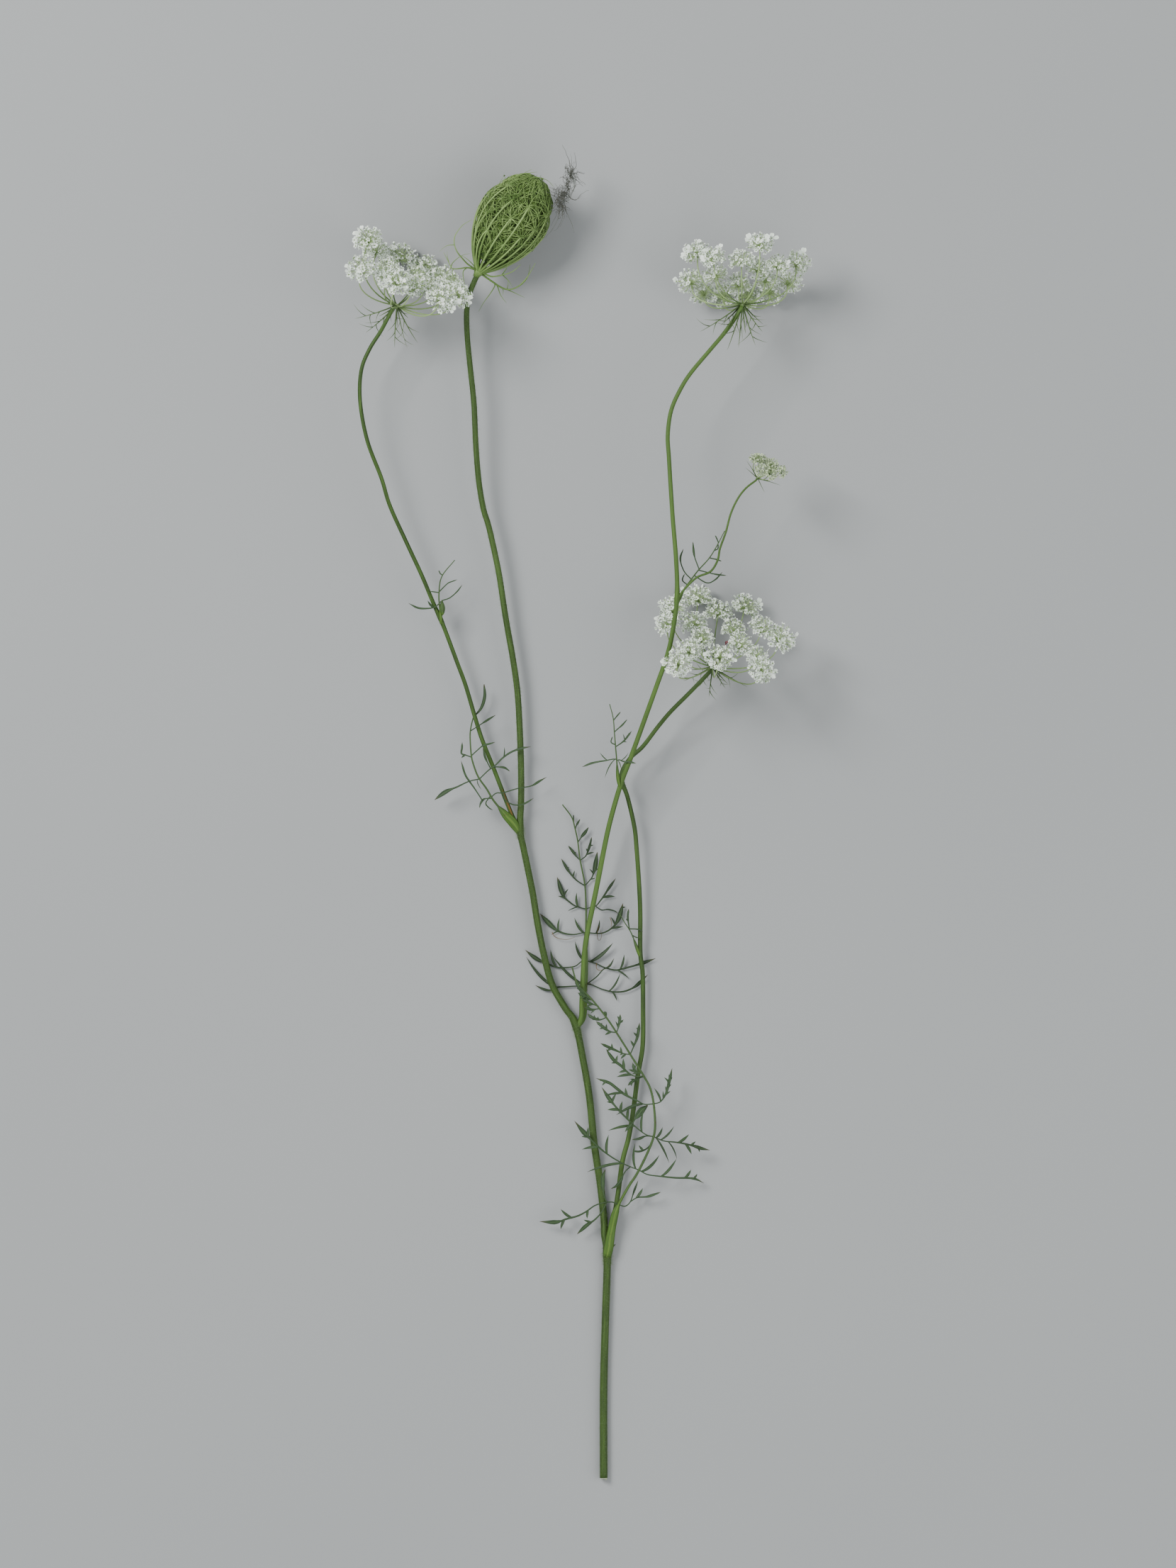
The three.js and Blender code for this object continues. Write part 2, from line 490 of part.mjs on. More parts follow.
// An umbel's own frame: +Y along its axis, +X to the right, +Z to the side that faces up.
function umbelFrame({ hub, lean, tilt }) {
  const [l, t] = [radians(lean), radians(tilt)];
  const right = new THREE.Vector3(Math.cos(l), -Math.sin(l), 0);
  const axis = new THREE.Vector3(Math.sin(l) * Math.cos(t), Math.cos(l) * Math.cos(t), Math.sin(t));
  const front = new THREE.Vector3().crossVectors(right, axis);
  return new THREE.Matrix4().makeBasis(right, axis, front).setPosition(...hub);
}

const around = (azimuth, reach, height) =>
  new THREE.Vector3(reach * Math.cos(radians(azimuth)), height, reach * Math.sin(radians(azimuth)));

function rayCurve(frame, azimuth, reach, height, size) {
  const bowl = Math.min(1, reach / (size * 20));
  const points = [
    around(azimuth, 0.7 * size, 0.3 * size),
    around(azimuth, 0.55 * reach, (1 - bowl) * 0.35 * height),
    around(azimuth, reach * (1 + 0.07 * bowl), (0.3 + 0.25 * (1 - bowl)) * height),
    around(azimuth, reach, height - (UMBELLET_HUB + 0.5) * size),
  ].map((p) => p.applyMatrix4(frame));
  return new THREE.CubicBezierCurve3(...points);
}

// A bract: a thread that leaves the receptacle backwards, with side threads left and right.
function bract(frame, [azimuth, fromStalk, length, threads], size) {
  const fall = radians(fromStalk);
  const reach = (share) => (1.1 * size + length * share) * Math.sin(fall);
  const drop = (share) => -(0.5 * size + length * share) * Math.cos(fall) * (1 - 0.25 * share);
  const at = (share) => around(azimuth, reach(share), drop(share)).applyMatrix4(frame);
  const pieces = [spike(at(0), at(1), 0.42 * size + 0.12, at(0.45), 2)];
  for (let i = 0; i < threads; i++) {
    const share = 0.34 + 0.17 * i;
    const turn = azimuth + (i % 2 ? 1 : -1) * (18 + 9 / (share + 0.3));
    const tip = around(turn, reach(share + 0.32), drop(share + 0.32));
    pieces.push(spike(at(share), tip.applyMatrix4(frame), 0.36));
  }
  return pieces;
}

function umbelRays({ umbellets, bracts, ...pose }, { size = 1 }) {
  const frame = umbelFrame(pose);
  const centre = new THREE.Vector3().setFromMatrixPosition(frame);
  const knob = closed(new THREE.SphereGeometry(HUB * size, 6, 3)).scale(1, 0.7, 1).applyMatrix4(frame);
  const pieces = [solidOf(knob)];
  for (const [azimuth, reach, height] of umbellets) {
    const curve = rayCurve(frame, azimuth, reach, height, size);
    const width = (share) => RAY * (0.55 + 0.45 * size) * Math.min(1, 0.7 + 1.5 * share);
    const face = new THREE.Vector3().crossVectors(
      curve.getPointAt(0.5).sub(centre),
      around(0, 0, 1).applyMatrix4(frame).sub(centre),
    );
    pieces.push(rod(curve, { width, sides: 3, steps: reach > 17 ? 3 : 2, face: face.normalize() }));
  }
  for (const one of bracts) pieces.push(...bract(frame, one, size));
  return fuse(pieces);
}

// A floret with its stalk: the wall of a cylinder runs from the rim of a five-petalled star to the
// three corners of a face of the umbellet's knob. One petal may reach over to a neighbour.
function floret(corners, centre, out, petal, largest, bridge) {
  const wall = closed(new THREE.CylinderGeometry(1, 1, 1, 2 * PETALS));
  const place = wall.attributes.position;
  const turn = new THREE.Quaternion().setFromUnitVectors(new THREE.Vector3(0, 1, 0), out);
  for (let i = 0; i < place.count; i++) {
    const [x, y, z] = [place.getX(i), place.getY(i), place.getZ(i)];
    const direction = new THREE.Vector3(x, 0, z).applyQuaternion(turn);
    if (y < 0) {
      const along = (corner) => corner.clone().sub(centre).dot(direction);
      place.setXYZ(i, ...corners.reduce((a, b) => (along(b) > along(a) ? b : a)));
      continue;
    }
    const petalSide = Math.round((Math.atan2(z, x) / Math.PI) * PETALS) % 2 === 0;
    const length = petalSide ? (direction.dot(centre) > 0 ? largest : petal) : petal * NOTCH;
    place.setXYZ(i, ...direction.multiplyScalar(length).add(centre));
  }
  if (bridge) {
    const far = (i) => new THREE.Vector3().fromBufferAttribute(place, i).distanceTo(bridge);
    const tip = [...Array(place.count).keys()].reduce((a, b) => (far(b) < far(a) ? b : a));
    place.setXYZ(tip, ...bridge);
  }
  return wall;
}

// An umbellet's axis, which leans out from the umbel's.
const umbelletAxis = ([azimuth, reach], size) => around(azimuth, (0.015 * reach) / size, 1).normalize();

// An umbellet: a knob, a floret on the face along its axis and florets on the three faces beside
// it, one of which reaches over to the crown of the neighbour.
function umbellet([azimuth, reach, height, radius, largest], crown, size) {
  const knob = around(azimuth, reach, height);
  const axis = umbelletAxis([azimuth, reach], size);
  const bridge = crown.clone().sub(knob);
  const first = bridge.clone().addScaledVector(axis, -bridge.dot(axis)).normalize();
  const middle = closed(new THREE.OctahedronGeometry(UMBELLET_HUB * size));
  const stand = new THREE.Matrix4().makeBasis(axis, first, axis.clone().cross(first));
  middle.applyMatrix4(stand.multiply(ON_ITS_FACE));
  const pieces = [middle];
  const corner = new THREE.Vector3();
  for (let i = 0; i < middle.index.count; i += 3) {
    const corners = [0, 1, 2].map((k) =>
      corner.fromBufferAttribute(middle.attributes.position, middle.index.getX(i + k)).clone(),
    );
    const out = corners[0].clone().add(corners[1]).add(corners[2]).normalize();
    const up = out.dot(axis);
    if (up < 0) continue;
    const spread = out.addScaledVector(axis, -up).normalize();
    const top = up > 0.9;
    const centre = top
      ? axis.clone().multiplyScalar(0.85 * radius)
      : spread.clone().multiplyScalar(0.7 * radius).addScaledVector(axis, 0.42 * radius);
    const look = centre.clone().normalize().addScaledVector(axis, 0.8).normalize();
    const rim = !top && reach > 17 * size && around(azimuth, 1, 0).dot(centre) > 0;
    const towards = !top && spread.dot(first) > 0.9 ? bridge : null;
    pieces.push(floret(corners, centre, look, 0.4 * radius, rim ? largest : 0.4 * radius, towards));
  }
  return weld(pieces).translate(...knob);
}

function umbelFlorets({ umbellets, ...pose }, { size = 1 }) {
  const frame = umbelFrame(pose);
  const knob = ([azimuth, reach, height]) => around(azimuth, reach, height);
  const innermost = umbellets.reduce((a, b) => (b[1] < a[1] ? b : a));
  const pieces = umbellets.map((one) => {
    const inner = umbellets.filter((other) => other[1] < one[1] || one === innermost);
    const far = (other) => (other === one ? Infinity : knob(other).distanceTo(knob(one)));
    const beside = inner.reduce((a, b) => (far(b) < far(a) ? b : a));
    const crown = knob(beside).addScaledVector(umbelletAxis(beside, size), 0.6 * beside[3]);
    return solidOf(umbellet(one, crown, size).applyMatrix4(frame));
  });
  return fuse(pieces);
}

// ---- the closed seed head ----

const nestRadius = (along) =>
  NEST_RADIUS * Math.sin(Math.PI * Math.min(0.995, along / NEST_LENGTH) ** 1.2) ** 0.55;

function seedHead({ stars, bracts, ...pose }) {
  const frame = umbelFrame(pose);
  const on = (azimuth, along, share = 1) => around(azimuth, share * nestRadius(along), along);
  const core = [];
  for (let along = 9; along <= 41; along += 8) {
    core.push(new THREE.Vector2(0.64 * nestRadius(along), along));
  }
  const profile = [new THREE.Vector2(0, 1), ...core, new THREE.Vector2(0, 44)];
  const pieces = [
    solidOf(closed(new THREE.LatheGeometry(profile, 8)).applyMatrix4(frame)),
    solidOf(closed(new THREE.SphereGeometry(2.1, 6, 3)).scale(1, 0.75, 1).applyMatrix4(frame)),
  ];
  for (const [azimuth, along] of stars) {
    const route = [0.1, 3, 0.3 * along, 0.62 * along, along].map((s, i) =>
      (i ? on(azimuth, s) : around(azimuth, 1, 0)).applyMatrix4(frame),
    );
    const axis = around(0, 0, 1).applyMatrix4(frame).sub(around(0, 0, 0).applyMatrix4(frame));
    const face = new THREE.Vector3().crossVectors(axis, route[2].clone().sub(route[0])).normalize();
    pieces.push(rod(new THREE.CatmullRomCurve3(route), {
      width: (share) => 0.38 + 0.1 * share, sides: 3, steps: 4, face,
    }));
    pieces.push(fruitStar(azimuth, along, on, frame));
  }
  for (const one of bracts) pieces.push(...curvedBract(frame, one));
  return fuse(pieces);
}

// A star of five fruit stalks: its tips bend into the head.
function fruitStar(azimuth, along, on, frame) {
  const star = closed(new THREE.ConeGeometry(1, 1, 2 * PETALS));
  const place = star.attributes.position;
  for (let i = 0; i < place.count; i++) {
    const [x, y, z] = [place.getX(i), place.getY(i), place.getZ(i)];
    const rim = Math.hypot(x, z) > 0.5;
    const tip = Math.round((Math.atan2(z, x) / Math.PI) * PETALS) % 2 === 0;
    const reach = rim ? (tip ? 1 : 0.12) : 0;
    const turn = Math.atan2(z, x) + radians(9 * along);
    const depth = rim ? (tip ? 0.8 : 0.97) : y > 0 ? 1.03 : 0.88;
    const up = THREE.MathUtils.clamp(along + 7 * reach * Math.sin(turn), 6, 43);
    place.setXYZ(i, ...on(azimuth + 30 * reach * Math.cos(turn), up, depth).applyMatrix4(frame));
  }
  return solidOf(star);
}

// A bract of the seed head bends out and then up round the head.
function curvedBract(frame, [azimuth, reach, rise, lobes]) {
  const at = (out, up, turn = 0) => {
    const point = around(azimuth + turn, out, up).applyMatrix4(frame);
    point.z = Math.max(0.8, point.z);
    return point;
  };
  const curve = new THREE.CubicBezierCurve3(
    at(1.6, -0.6), at(0.55 * reach, -3.4), at(1.02 * reach, -1.5), at(reach, rise),
  );
  const face = sideways(curve.getPointAt(1).sub(curve.getPointAt(0)).normalize());
  const pieces = [rod(curve, {
    width: (share) => 0.5 * (1 - share), sides: 3, steps: 4, pointed: true, face,
  })];
  for (let i = 0; i < lobes; i++) {
    const from = curve.getPointAt(0.4 + 0.2 * i);
    const tip = at((0.62 + 0.3 * i) * reach, -5.5 + 5 * i, i % 2 ? 30 : -30);
    pieces.push(spike(from, tip, 0.36));
  }
  return pieces;
}

function witheredTuft({ core, radius, threads }) {
  const middle = vector(core);
  const pieces = [solidOf(closed(new THREE.OctahedronGeometry(radius)).translate(...core))];
  for (const [bendAt, tip] of threads) {
    pieces.push(spike(middle, vector(tip), 0.42, vector(bendAt), 2));
  }
  return fuse(pieces);
}

// ---- the part ----

const finish = (colour, roughness) =>
  new THREE.MeshStandardMaterial({ color: colour, roughness, metalness: 0 });

const part = new THREE.Group();
const plant = new THREE.Group();
plant.position.set(...ORIGIN);
part.add(plant);

function add(name, solid, colour, roughness = 0.6) {
  const mesh = new THREE.Mesh(geometryOf(solid), finish(colour, roughness));
  mesh.name = name;
  plant.add(mesh);
}

const mainStem = stem(MAIN_ROUTE, STEM.main, {
  sides: 6, steps: 38, taper: STEM.neck / STEM.main, swell: [7 / 38, 14 / 38, 21 / 38],
});
add("main_stem", mainStem, COLOURS.stem);
add("branch_lower", stem(LOWER_ROUTE, STEM.lower, { steps: 28, swell: [13 / 28] }), COLOURS.stemPale);
add("branch_middle", stem(MIDDLE_ROUTE, STEM.middle, { steps: 30, taper: 0.8 }), COLOURS.stem);
add("branch_upper", stem(UPPER_ROUTE, STEM.upper, { steps: 26, swell: [7 / 26] }), COLOURS.stem);
add("twig", stem(TWIG_ROUTE, STEM.twig, { sides: 4, steps: 12 }), COLOURS.stemPale);
for (const [name, shape] of Object.entries(LEAVES)) add(name, leaf(shape), COLOURS.leaf);
for (const [name, shape] of Object.entries(OPEN_UMBELS)) {
  add(name + "_umbel_rays", umbelRays(shape, {}), COLOURS.ray);
  add(name + "_umbel_florets", umbelFlorets(shape, {}), COLOURS.petal, 0.5);
}
add("small_umbel_rays", umbelRays(SMALL_UMBEL, { size: 0.45 }), COLOURS.ray);
add("small_umbel_florets", umbelFlorets(SMALL_UMBEL, { size: 0.45 }), COLOURS.petalYoung, 0.5);
add("seed_head", seedHead(SEED_HEAD), COLOURS.nest);
add("withered_tuft", witheredTuft(TUFT), COLOURS.withered, 0.9);

export default part;
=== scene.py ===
# %% [markdown]
# # Queen Anne's lace, one cut stem
#
# Wild carrot flowers in flat or hollow heads of many small white florets. A head is an umbel of
# umbels: the rays leave the top of a stalk together, and each ray ends in a smaller umbel. This
# stem was cut low down and lies on a table. It carries three open heads, one young head and one
# that has closed round its fruit like a nest.
#
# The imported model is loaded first. It fixes where everything is. The pieces below are made in the
# same place, finer than the solids that they stand for, and then hide them.

# %% Load the frame
import json
import math

import bmesh
import bpy
import numpy as np
from mathutils import Matrix, Vector

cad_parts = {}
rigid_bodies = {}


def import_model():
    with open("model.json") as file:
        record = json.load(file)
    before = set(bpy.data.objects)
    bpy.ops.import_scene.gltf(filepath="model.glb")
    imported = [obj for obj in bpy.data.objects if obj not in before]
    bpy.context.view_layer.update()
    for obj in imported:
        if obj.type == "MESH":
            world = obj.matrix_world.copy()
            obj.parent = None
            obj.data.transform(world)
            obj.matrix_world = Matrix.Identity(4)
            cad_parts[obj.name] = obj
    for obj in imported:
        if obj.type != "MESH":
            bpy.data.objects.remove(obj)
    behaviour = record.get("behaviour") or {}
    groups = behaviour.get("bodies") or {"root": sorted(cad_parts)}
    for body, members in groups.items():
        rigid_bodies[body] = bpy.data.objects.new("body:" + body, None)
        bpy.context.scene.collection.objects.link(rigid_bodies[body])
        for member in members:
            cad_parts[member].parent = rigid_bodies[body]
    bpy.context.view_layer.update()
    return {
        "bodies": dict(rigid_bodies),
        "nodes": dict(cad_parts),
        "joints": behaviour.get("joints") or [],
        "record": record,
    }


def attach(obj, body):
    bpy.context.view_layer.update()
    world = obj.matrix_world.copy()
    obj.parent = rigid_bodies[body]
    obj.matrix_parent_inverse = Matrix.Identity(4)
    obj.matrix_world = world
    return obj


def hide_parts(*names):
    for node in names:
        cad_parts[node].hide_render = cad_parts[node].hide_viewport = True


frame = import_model()

# %% [markdown]
# ## Camera
#
# The stem is longer than it is wide, and the camera looks straight down on it from far away, so
# that the tall heads don't lean outwards in the render. A camera close by with a short lens would
# show more of their sides, but it would also bend the straight stems towards the edges.

# %% Camera
PICTURE_HEIGHT = 0.6636  # metres of table from the top of the picture to its bottom
CAMERA_HEIGHT = 6.0
LOOKED_AT = (0.00405, 0.0114, 0.012)
FILM = 36.0

lens = FILM * CAMERA_HEIGHT / PICTURE_HEIGHT
camera = bpy.data.objects.new("camera", bpy.data.cameras.new("camera"))
camera.data.sensor_width = FILM
camera.data.lens = lens
camera.data.clip_end = 20
camera.location = (LOOKED_AT[0], LOOKED_AT[1], LOOKED_AT[2] + CAMERA_HEIGHT)
bpy.context.scene.collection.objects.link(camera)
bpy.context.scene.camera = camera
print("camera with a lens of", round(lens), "mm")

# %% [markdown]
# ## Table and light
#
# A plain pale table lies under the stem. A curved backdrop isn't needed, because the camera sees
# nothing but the table. Three large soft lights leave soft shadows, and one of them is brighter than
# the others so that round things look round. The lights are far larger than the stem is thick: a
# small lamp would draw hard black lines beside each stalk.

# %% Table and lights
TABLE_SIZE = 5.0
TABLE_HEIGHT = -0.0002  # just below everything that lies on it, so that nothing flickers
SKY = (0.9, 0.95, 1.0, 1)
SKY_STRENGTH = 0.62
LAMPS = {  # place, size and power
    "key_light": ((-1.1, 0.9, 1.5), 0.8, 58),
    "fill_light": ((1.4, -0.3, 1.3), 1.4, 19),
    "far_light": ((0.2, -1.6, 1.2), 1.4, 14),
}


def plain_table():
    """A large flat table. Its finish comes with the others."""
    bm = bmesh.new()
    bmesh.ops.create_grid(bm, x_segments=1, y_segments=1, size=TABLE_SIZE / 2)
    bmesh.ops.translate(bm, vec=(0, 0, TABLE_HEIGHT), verts=bm.verts)
    mesh = bpy.data.meshes.new("table")
    bm.to_mesh(mesh)
    bm.free()
    table = bpy.data.objects.new("table", mesh)
    bpy.context.scene.collection.objects.link(table)
    return table


def soft_light(name, place, size, power):
    """A square lamp that faces the middle of the table."""
    lamp = bpy.data.objects.new(name, bpy.data.lights.new(name, "AREA"))
    lamp.data.size = size
    lamp.data.energy = power
    lamp.location = place
    lamp.rotation_euler = (-Vector(place)).to_track_quat("-Z", "Y").to_euler()
    bpy.context.scene.collection.objects.link(lamp)


table = plain_table()
for name, (place, size, power) in LAMPS.items():
    soft_light(name, place, size, power)
world = bpy.data.worlds.new("studio")
world.use_nodes = True
sky = world.node_tree.nodes["Background"].inputs
sky["Color"].default_value = SKY
sky["Strength"].default_value = SKY_STRENGTH
bpy.context.scene.world = world
print("table and", len(LAMPS), "lights")

# %% [markdown]
# ## Finishes
#
# Everything on a plant varies: a stem is streaked along its length, a leaflet has a pale rib and a
# darker blade, a petal is greener where it starts. A texture in space can't follow a bent stalk, so
# every piece keeps three values at each corner of its mesh, which the materials read:
#
# - `grain`: where the corner is round the stalk or across the petal, and how far along it is;
# - `share`: how far along it is, from 0 to 1, and -1 on the knob in the middle of a floret;
# - `tint`: one number for each stalk, leaflet or floret, so that no two are quite the same. A
#   stalk above 1 is nearly as pale as a petal, and one below 0 is dark.
#
# A noise that is read at `grain` runs in streaks along a stalk, whichever way the stalk bends. An
# image could do the same, but it would need an unwrapped surface and would blur in a close view.
# The small class below only shortens the making and joining of nodes, so that each finish can be
# read as a recipe.

# %% Building blocks for the finishes
def rgb(red, green, blue):
    """A colour from the 0 to 255 of a paint chart, made linear for the renderer."""
    return tuple(((c / 255 + 0.055) / 1.055) ** 2.4 for c in (red, green, blue)) + (1.0,)


class Finish:
    """A material, and short ways to add nodes to it."""

    SHEEN_OF_PLANTS = 0.3  # a leaf reflects less than plastic does

    def __init__(self, name, roughness):
        self.material = bpy.data.materials.new(name)
        self.material.use_nodes = True
        self.tree = self.material.node_tree
        self.surface = self.tree.nodes["Principled BSDF"]
        self.surface.inputs["Roughness"].default_value = roughness
        self.surface.inputs["Specular IOR Level"].default_value = self.SHEEN_OF_PLANTS

    def node(self, kind, **values):
        made = self.tree.nodes.new(kind)
        for name, value in values.items():
            setattr(made, name, value)
        return made

    def link(self, value, socket):
        if hasattr(value, "links"):
            self.tree.links.new(value, socket)
        else:
            socket.default_value = value

    def attribute(self, name, output="Fac"):
        return self.node("ShaderNodeAttribute", attribute_name=name).outputs[output]

    def noise(self, where, scale, detail=3.0, stretch=None):
        """A cloudy value about 0.5, read at `where`, which may be stretched along one axis."""
        if stretch:
            mapping = self.node("ShaderNodeMapping")
            self.link(where, mapping.inputs["Vector"])
            mapping.inputs["Scale"].default_value = stretch
            where = mapping.outputs["Vector"]
        noise = self.node("ShaderNodeTexNoise")
        self.link(where, noise.inputs["Vector"])
        noise.inputs["Scale"].default_value = scale
        noise.inputs["Detail"].default_value = detail
        return noise.outputs["Fac"]

    def maths(self, operation, a, b):
        node = self.node("ShaderNodeMath", operation=operation)
        self.link(a, node.inputs[0])
        self.link(b, node.inputs[1])
        return node.outputs["Value"]

    def between(self, value, low, high):
        """0 below `low`, 1 above `high`, and smooth between them."""
        span = self.node("ShaderNodeMapRange", interpolation_type="SMOOTHSTEP")
        self.link(value, span.inputs["Value"])
        span.inputs["From Min"].default_value = low
        span.inputs["From Max"].default_value = high
        return span.outputs["Result"]

    def blend(self, share, a, b):
        """The colour `a` where `share` is 0, and `b` where it is 1."""
        mix = self.node("ShaderNodeMix", data_type="RGBA")
        self.link(share, mix.inputs["Factor"])
        self.link(a, mix.inputs["A"])
        self.link(b, mix.inputs["B"])
        return mix.outputs["Result"]

    def part_of(self, vector, axis):
        split = self.node("ShaderNodeSeparateXYZ")
        self.link(vector, split.inputs["Vector"])
        return split.outputs[axis]

    def bump(self, height, strength, distance=0.0002):
        """Fine relief, as deep as `distance` in metres."""
        bump = self.node("ShaderNodeBump")
        self.link(height, bump.inputs["Height"])
        bump.inputs["Strength"].default_value = strength
        bump.inputs["Distance"].default_value = distance
        self.link(bump.outputs["Normal"], self.surface.inputs["Normal"])

    def colour(self, colour):
        self.link(colour, self.surface.inputs["Base Color"])
        return self.material


def object_place(finish):
    """Where a point is on the finished piece, in metres."""
    return finish.node("ShaderNodeTexCoord").outputs["Object"]


print("finishes read the attributes grain, share and tint")

# %% [markdown]
# ### Stems and stalks
#
# A carrot stem is ribbed, and pale and dark streaks run along it. It fades from fresh green to
# yellow-green in places. The ribs are in the mesh, and the streaks are a noise that is read at
# `grain` and stretched twentyfold along the stalk. A ray is the same thing, only thinner and paler,
# so one recipe makes all four finishes.

# %% Stem, stalk and ray finishes
def stalk_finish(name, dark, middle, pale, streaks, pale_end_and_painted_light=0.0, roughness=0.62):
    """Green with faint paler streaks along it and slow changes of tone from place to place. A ray
    also fades to its paler green along the way, by the share given for its finish. That paling is
    partly the ray's own colour and partly painted light: painted shade at the foot, and painted light
    at the end, where the florets would otherwise shade it."""
    f = Finish(name, roughness)
    grain = f.attribute("grain", "Vector")
    streak = f.noise(grain, streaks, 4.0, (1.0, 1.0, 0.05))
    speckle = f.noise(object_place(f), 2600.0, 2.0)
    patch = f.noise(object_place(f), 26.0, 2.0)
    tone = f.blend(f.between(streak, 0.3, 0.62), dark, middle)
    tone = f.blend(f.maths("MULTIPLY", f.between(streak, 0.54, 0.74), 0.45), tone, pale)
    tone = f.blend(f.maths("MULTIPLY", f.between(speckle, 0.5, 0.75), 0.3), tone, pale)
    tone = f.blend(f.maths("MULTIPLY", f.between(patch, 0.5, 0.75), 0.35), tone, pale)
    # paler towards the end: partly the ray's own colour, partly painted light (painted shade at the
    # foot, painted light at the end)
    tone = f.blend(f.maths("MULTIPLY", f.between(f.attribute("share"), 0.05, 0.9), pale_end_and_painted_light), tone, pale)
    tint = f.attribute("tint")
    tone = f.blend(f.maths("MULTIPLY", f.between(tint, 0.2, 1.0), 0.45), tone, pale)
    tone = f.blend(f.maths("MULTIPLY", f.between(tint, 1.1, 1.7), 0.9), tone, pale)
    tone = f.blend(f.maths("MULTIPLY", f.between(tint, -0.2, -1.0), 0.9), tone, dark)
    f.bump(speckle, 0.35)
    return f.colour(tone)


stem_green = stalk_finish(
    "stem_green", rgb(38, 58, 14), rgb(47, 70, 18), rgb(72, 98, 42), 2.2
)
branch_green = stalk_finish(
    "branch_green", rgb(34, 54, 12), rgb(46, 71, 18), rgb(84, 114, 46), 1.9
)
ray_green = stalk_finish(
    "ray_green", rgb(32, 50, 16), rgb(66, 94, 36), rgb(172, 196, 134), 2.0, 0.35
)
nest_green = stalk_finish(
    "nest_green", rgb(42, 68, 16), rgb(66, 96, 30), rgb(146, 172, 104), 2.4, 0.3
)
print("finishes:", stem_green.name, branch_green.name, ray_green.name, nest_green.name)

# %% [markdown]
# ### Leaves
#
# Carrot leaflets are grey-green above, with a pale line down the middle, a thin pale edge and a
# brownish tip where they start to wither. Across a leaflet `grain` runs from -1 to 1, so the pale
# line is where it is near 0 and the edge is where it is near -1 or 1. Old leaves are darker: the
# lower a leaflet's `tint`, the darker it is. The main ribs and sheaths have a `tint` of 2, which
# gives them the light veined green of a stalk, with a few brown specks.

# %% Leaf finish
def leaf_finish():
    f = Finish("leaf_green", 0.62)
    grain = f.attribute("grain", "Vector")
    across = f.maths("ABSOLUTE", f.part_of(grain, "X"), 0.0)
    share = f.attribute("share")
    tint = f.attribute("tint")
    vein = f.noise(grain, 3.2, 4.0, (1.0, 1.0, 0.25))
    old = f.blend(f.between(vein, 0.35, 0.65), rgb(20, 36, 13), rgb(30, 48, 21))
    young = f.blend(f.between(vein, 0.35, 0.65), rgb(32, 51, 24), rgb(46, 68, 37))
    tone = f.blend(f.between(tint, 0.0, 0.6), old, young)
    tone = f.blend(f.maths("MULTIPLY", f.between(tint, 0.6, 1.0), 0.6), tone, rgb(42, 64, 22))
    rib = f.maths("SUBTRACT", 1.0, f.between(across, 0.0, 0.3))
    tone = f.blend(f.maths("MULTIPLY", rib, 0.4), tone, rgb(82, 104, 66))
    tone = f.blend(f.maths("MULTIPLY", f.between(across, 0.8, 1.0), 0.35), tone, rgb(64, 86, 55))
    tone = f.blend(f.maths("MULTIPLY", f.between(share, 0.88, 1.02), 0.6), tone, rgb(76, 58, 34))
    line = f.noise(grain, 5.0, 3.0, (1.0, 1.0, 0.03))
    speck = f.noise(object_place(f), 1300.0, 1.0)
    stalk_tone = f.blend(f.between(line, 0.35, 0.65), rgb(50, 78, 18), rgb(70, 100, 34))
    rib_tone = f.blend(f.between(line, 0.35, 0.65), rgb(42, 62, 26), rgb(64, 88, 44))
    stalk_tone = f.blend(f.maths("MULTIPLY", rib, 0.3), stalk_tone, rgb(110, 130, 52))
    stalk_tone = f.blend(f.between(share, 0.14, 0.3), stalk_tone, rib_tone)
    brown = f.maths("MULTIPLY", f.between(speck, 0.68, 0.74), 0.7)
    stalk_tone = f.blend(brown, stalk_tone, rgb(62, 38, 16))
    tone = f.blend(f.between(tint, 1.2, 1.8), tone, stalk_tone)
    tone = f.blend(f.between(tint, -0.4, -0.8), tone, rgb(92, 68, 22))
    f.bump(vein, 0.3)
    return f.colour(tone)


leaf_green = leaf_finish()
print("finish:", leaf_green.name)

# %% [markdown]
# ### Petals, fruit, hairs and withered threads
#
# A petal is a cool white, greenish where it meets the middle of the floret, and along its middle
# crease it is painted a little darker, as shade. The young head is greener. Hairs catch the light,
# so they are paler than the stem, and the pith at the cut is paler still. The dry tuft on the nest
# has turned grey. Light could be let through the petals, but they lie so close together that a plain
# surface will do, and it keeps its look wherever the part is used.

# %% Petal and other finishes
def petal_finish(name, white, shaded, foot, middle):
    """White towards the edge; `share` is below 0 on the knob in the middle of a floret."""
    f = Finish(name, 0.6)
    grain = f.attribute("grain", "Vector")
    share = f.attribute("share")
    vein = f.noise(grain, 4.0, 3.0, (2.2, 1.0, 1.0))
    across = f.maths("ABSOLUTE", f.part_of(grain, "X"), 0.0)
    painted_crease_shade = f.maths("SUBTRACT", 1.0, f.between(across, 0, 0.5))
    tone = f.blend(f.maths("MULTIPLY", f.attribute("tint"), 0.6), white, shaded)
    tone = f.blend(f.maths("MULTIPLY", f.between(vein, 0.45, 0.7), 0.35), tone, shaded)
    # painted shade: darker along the middle crease of each petal
    tone = f.blend(f.maths("MULTIPLY", painted_crease_shade, 0.3), tone, shaded)
    near = f.maths("SUBTRACT", 1.0, f.between(share, 0.0, 0.45))
    tone = f.blend(f.maths("MULTIPLY", near, 0.6), tone, foot)
    tone = f.blend(f.between(share, -0.4, -0.6), tone, middle)
    f.bump(vein, 0.25)
    return f.colour(tone)


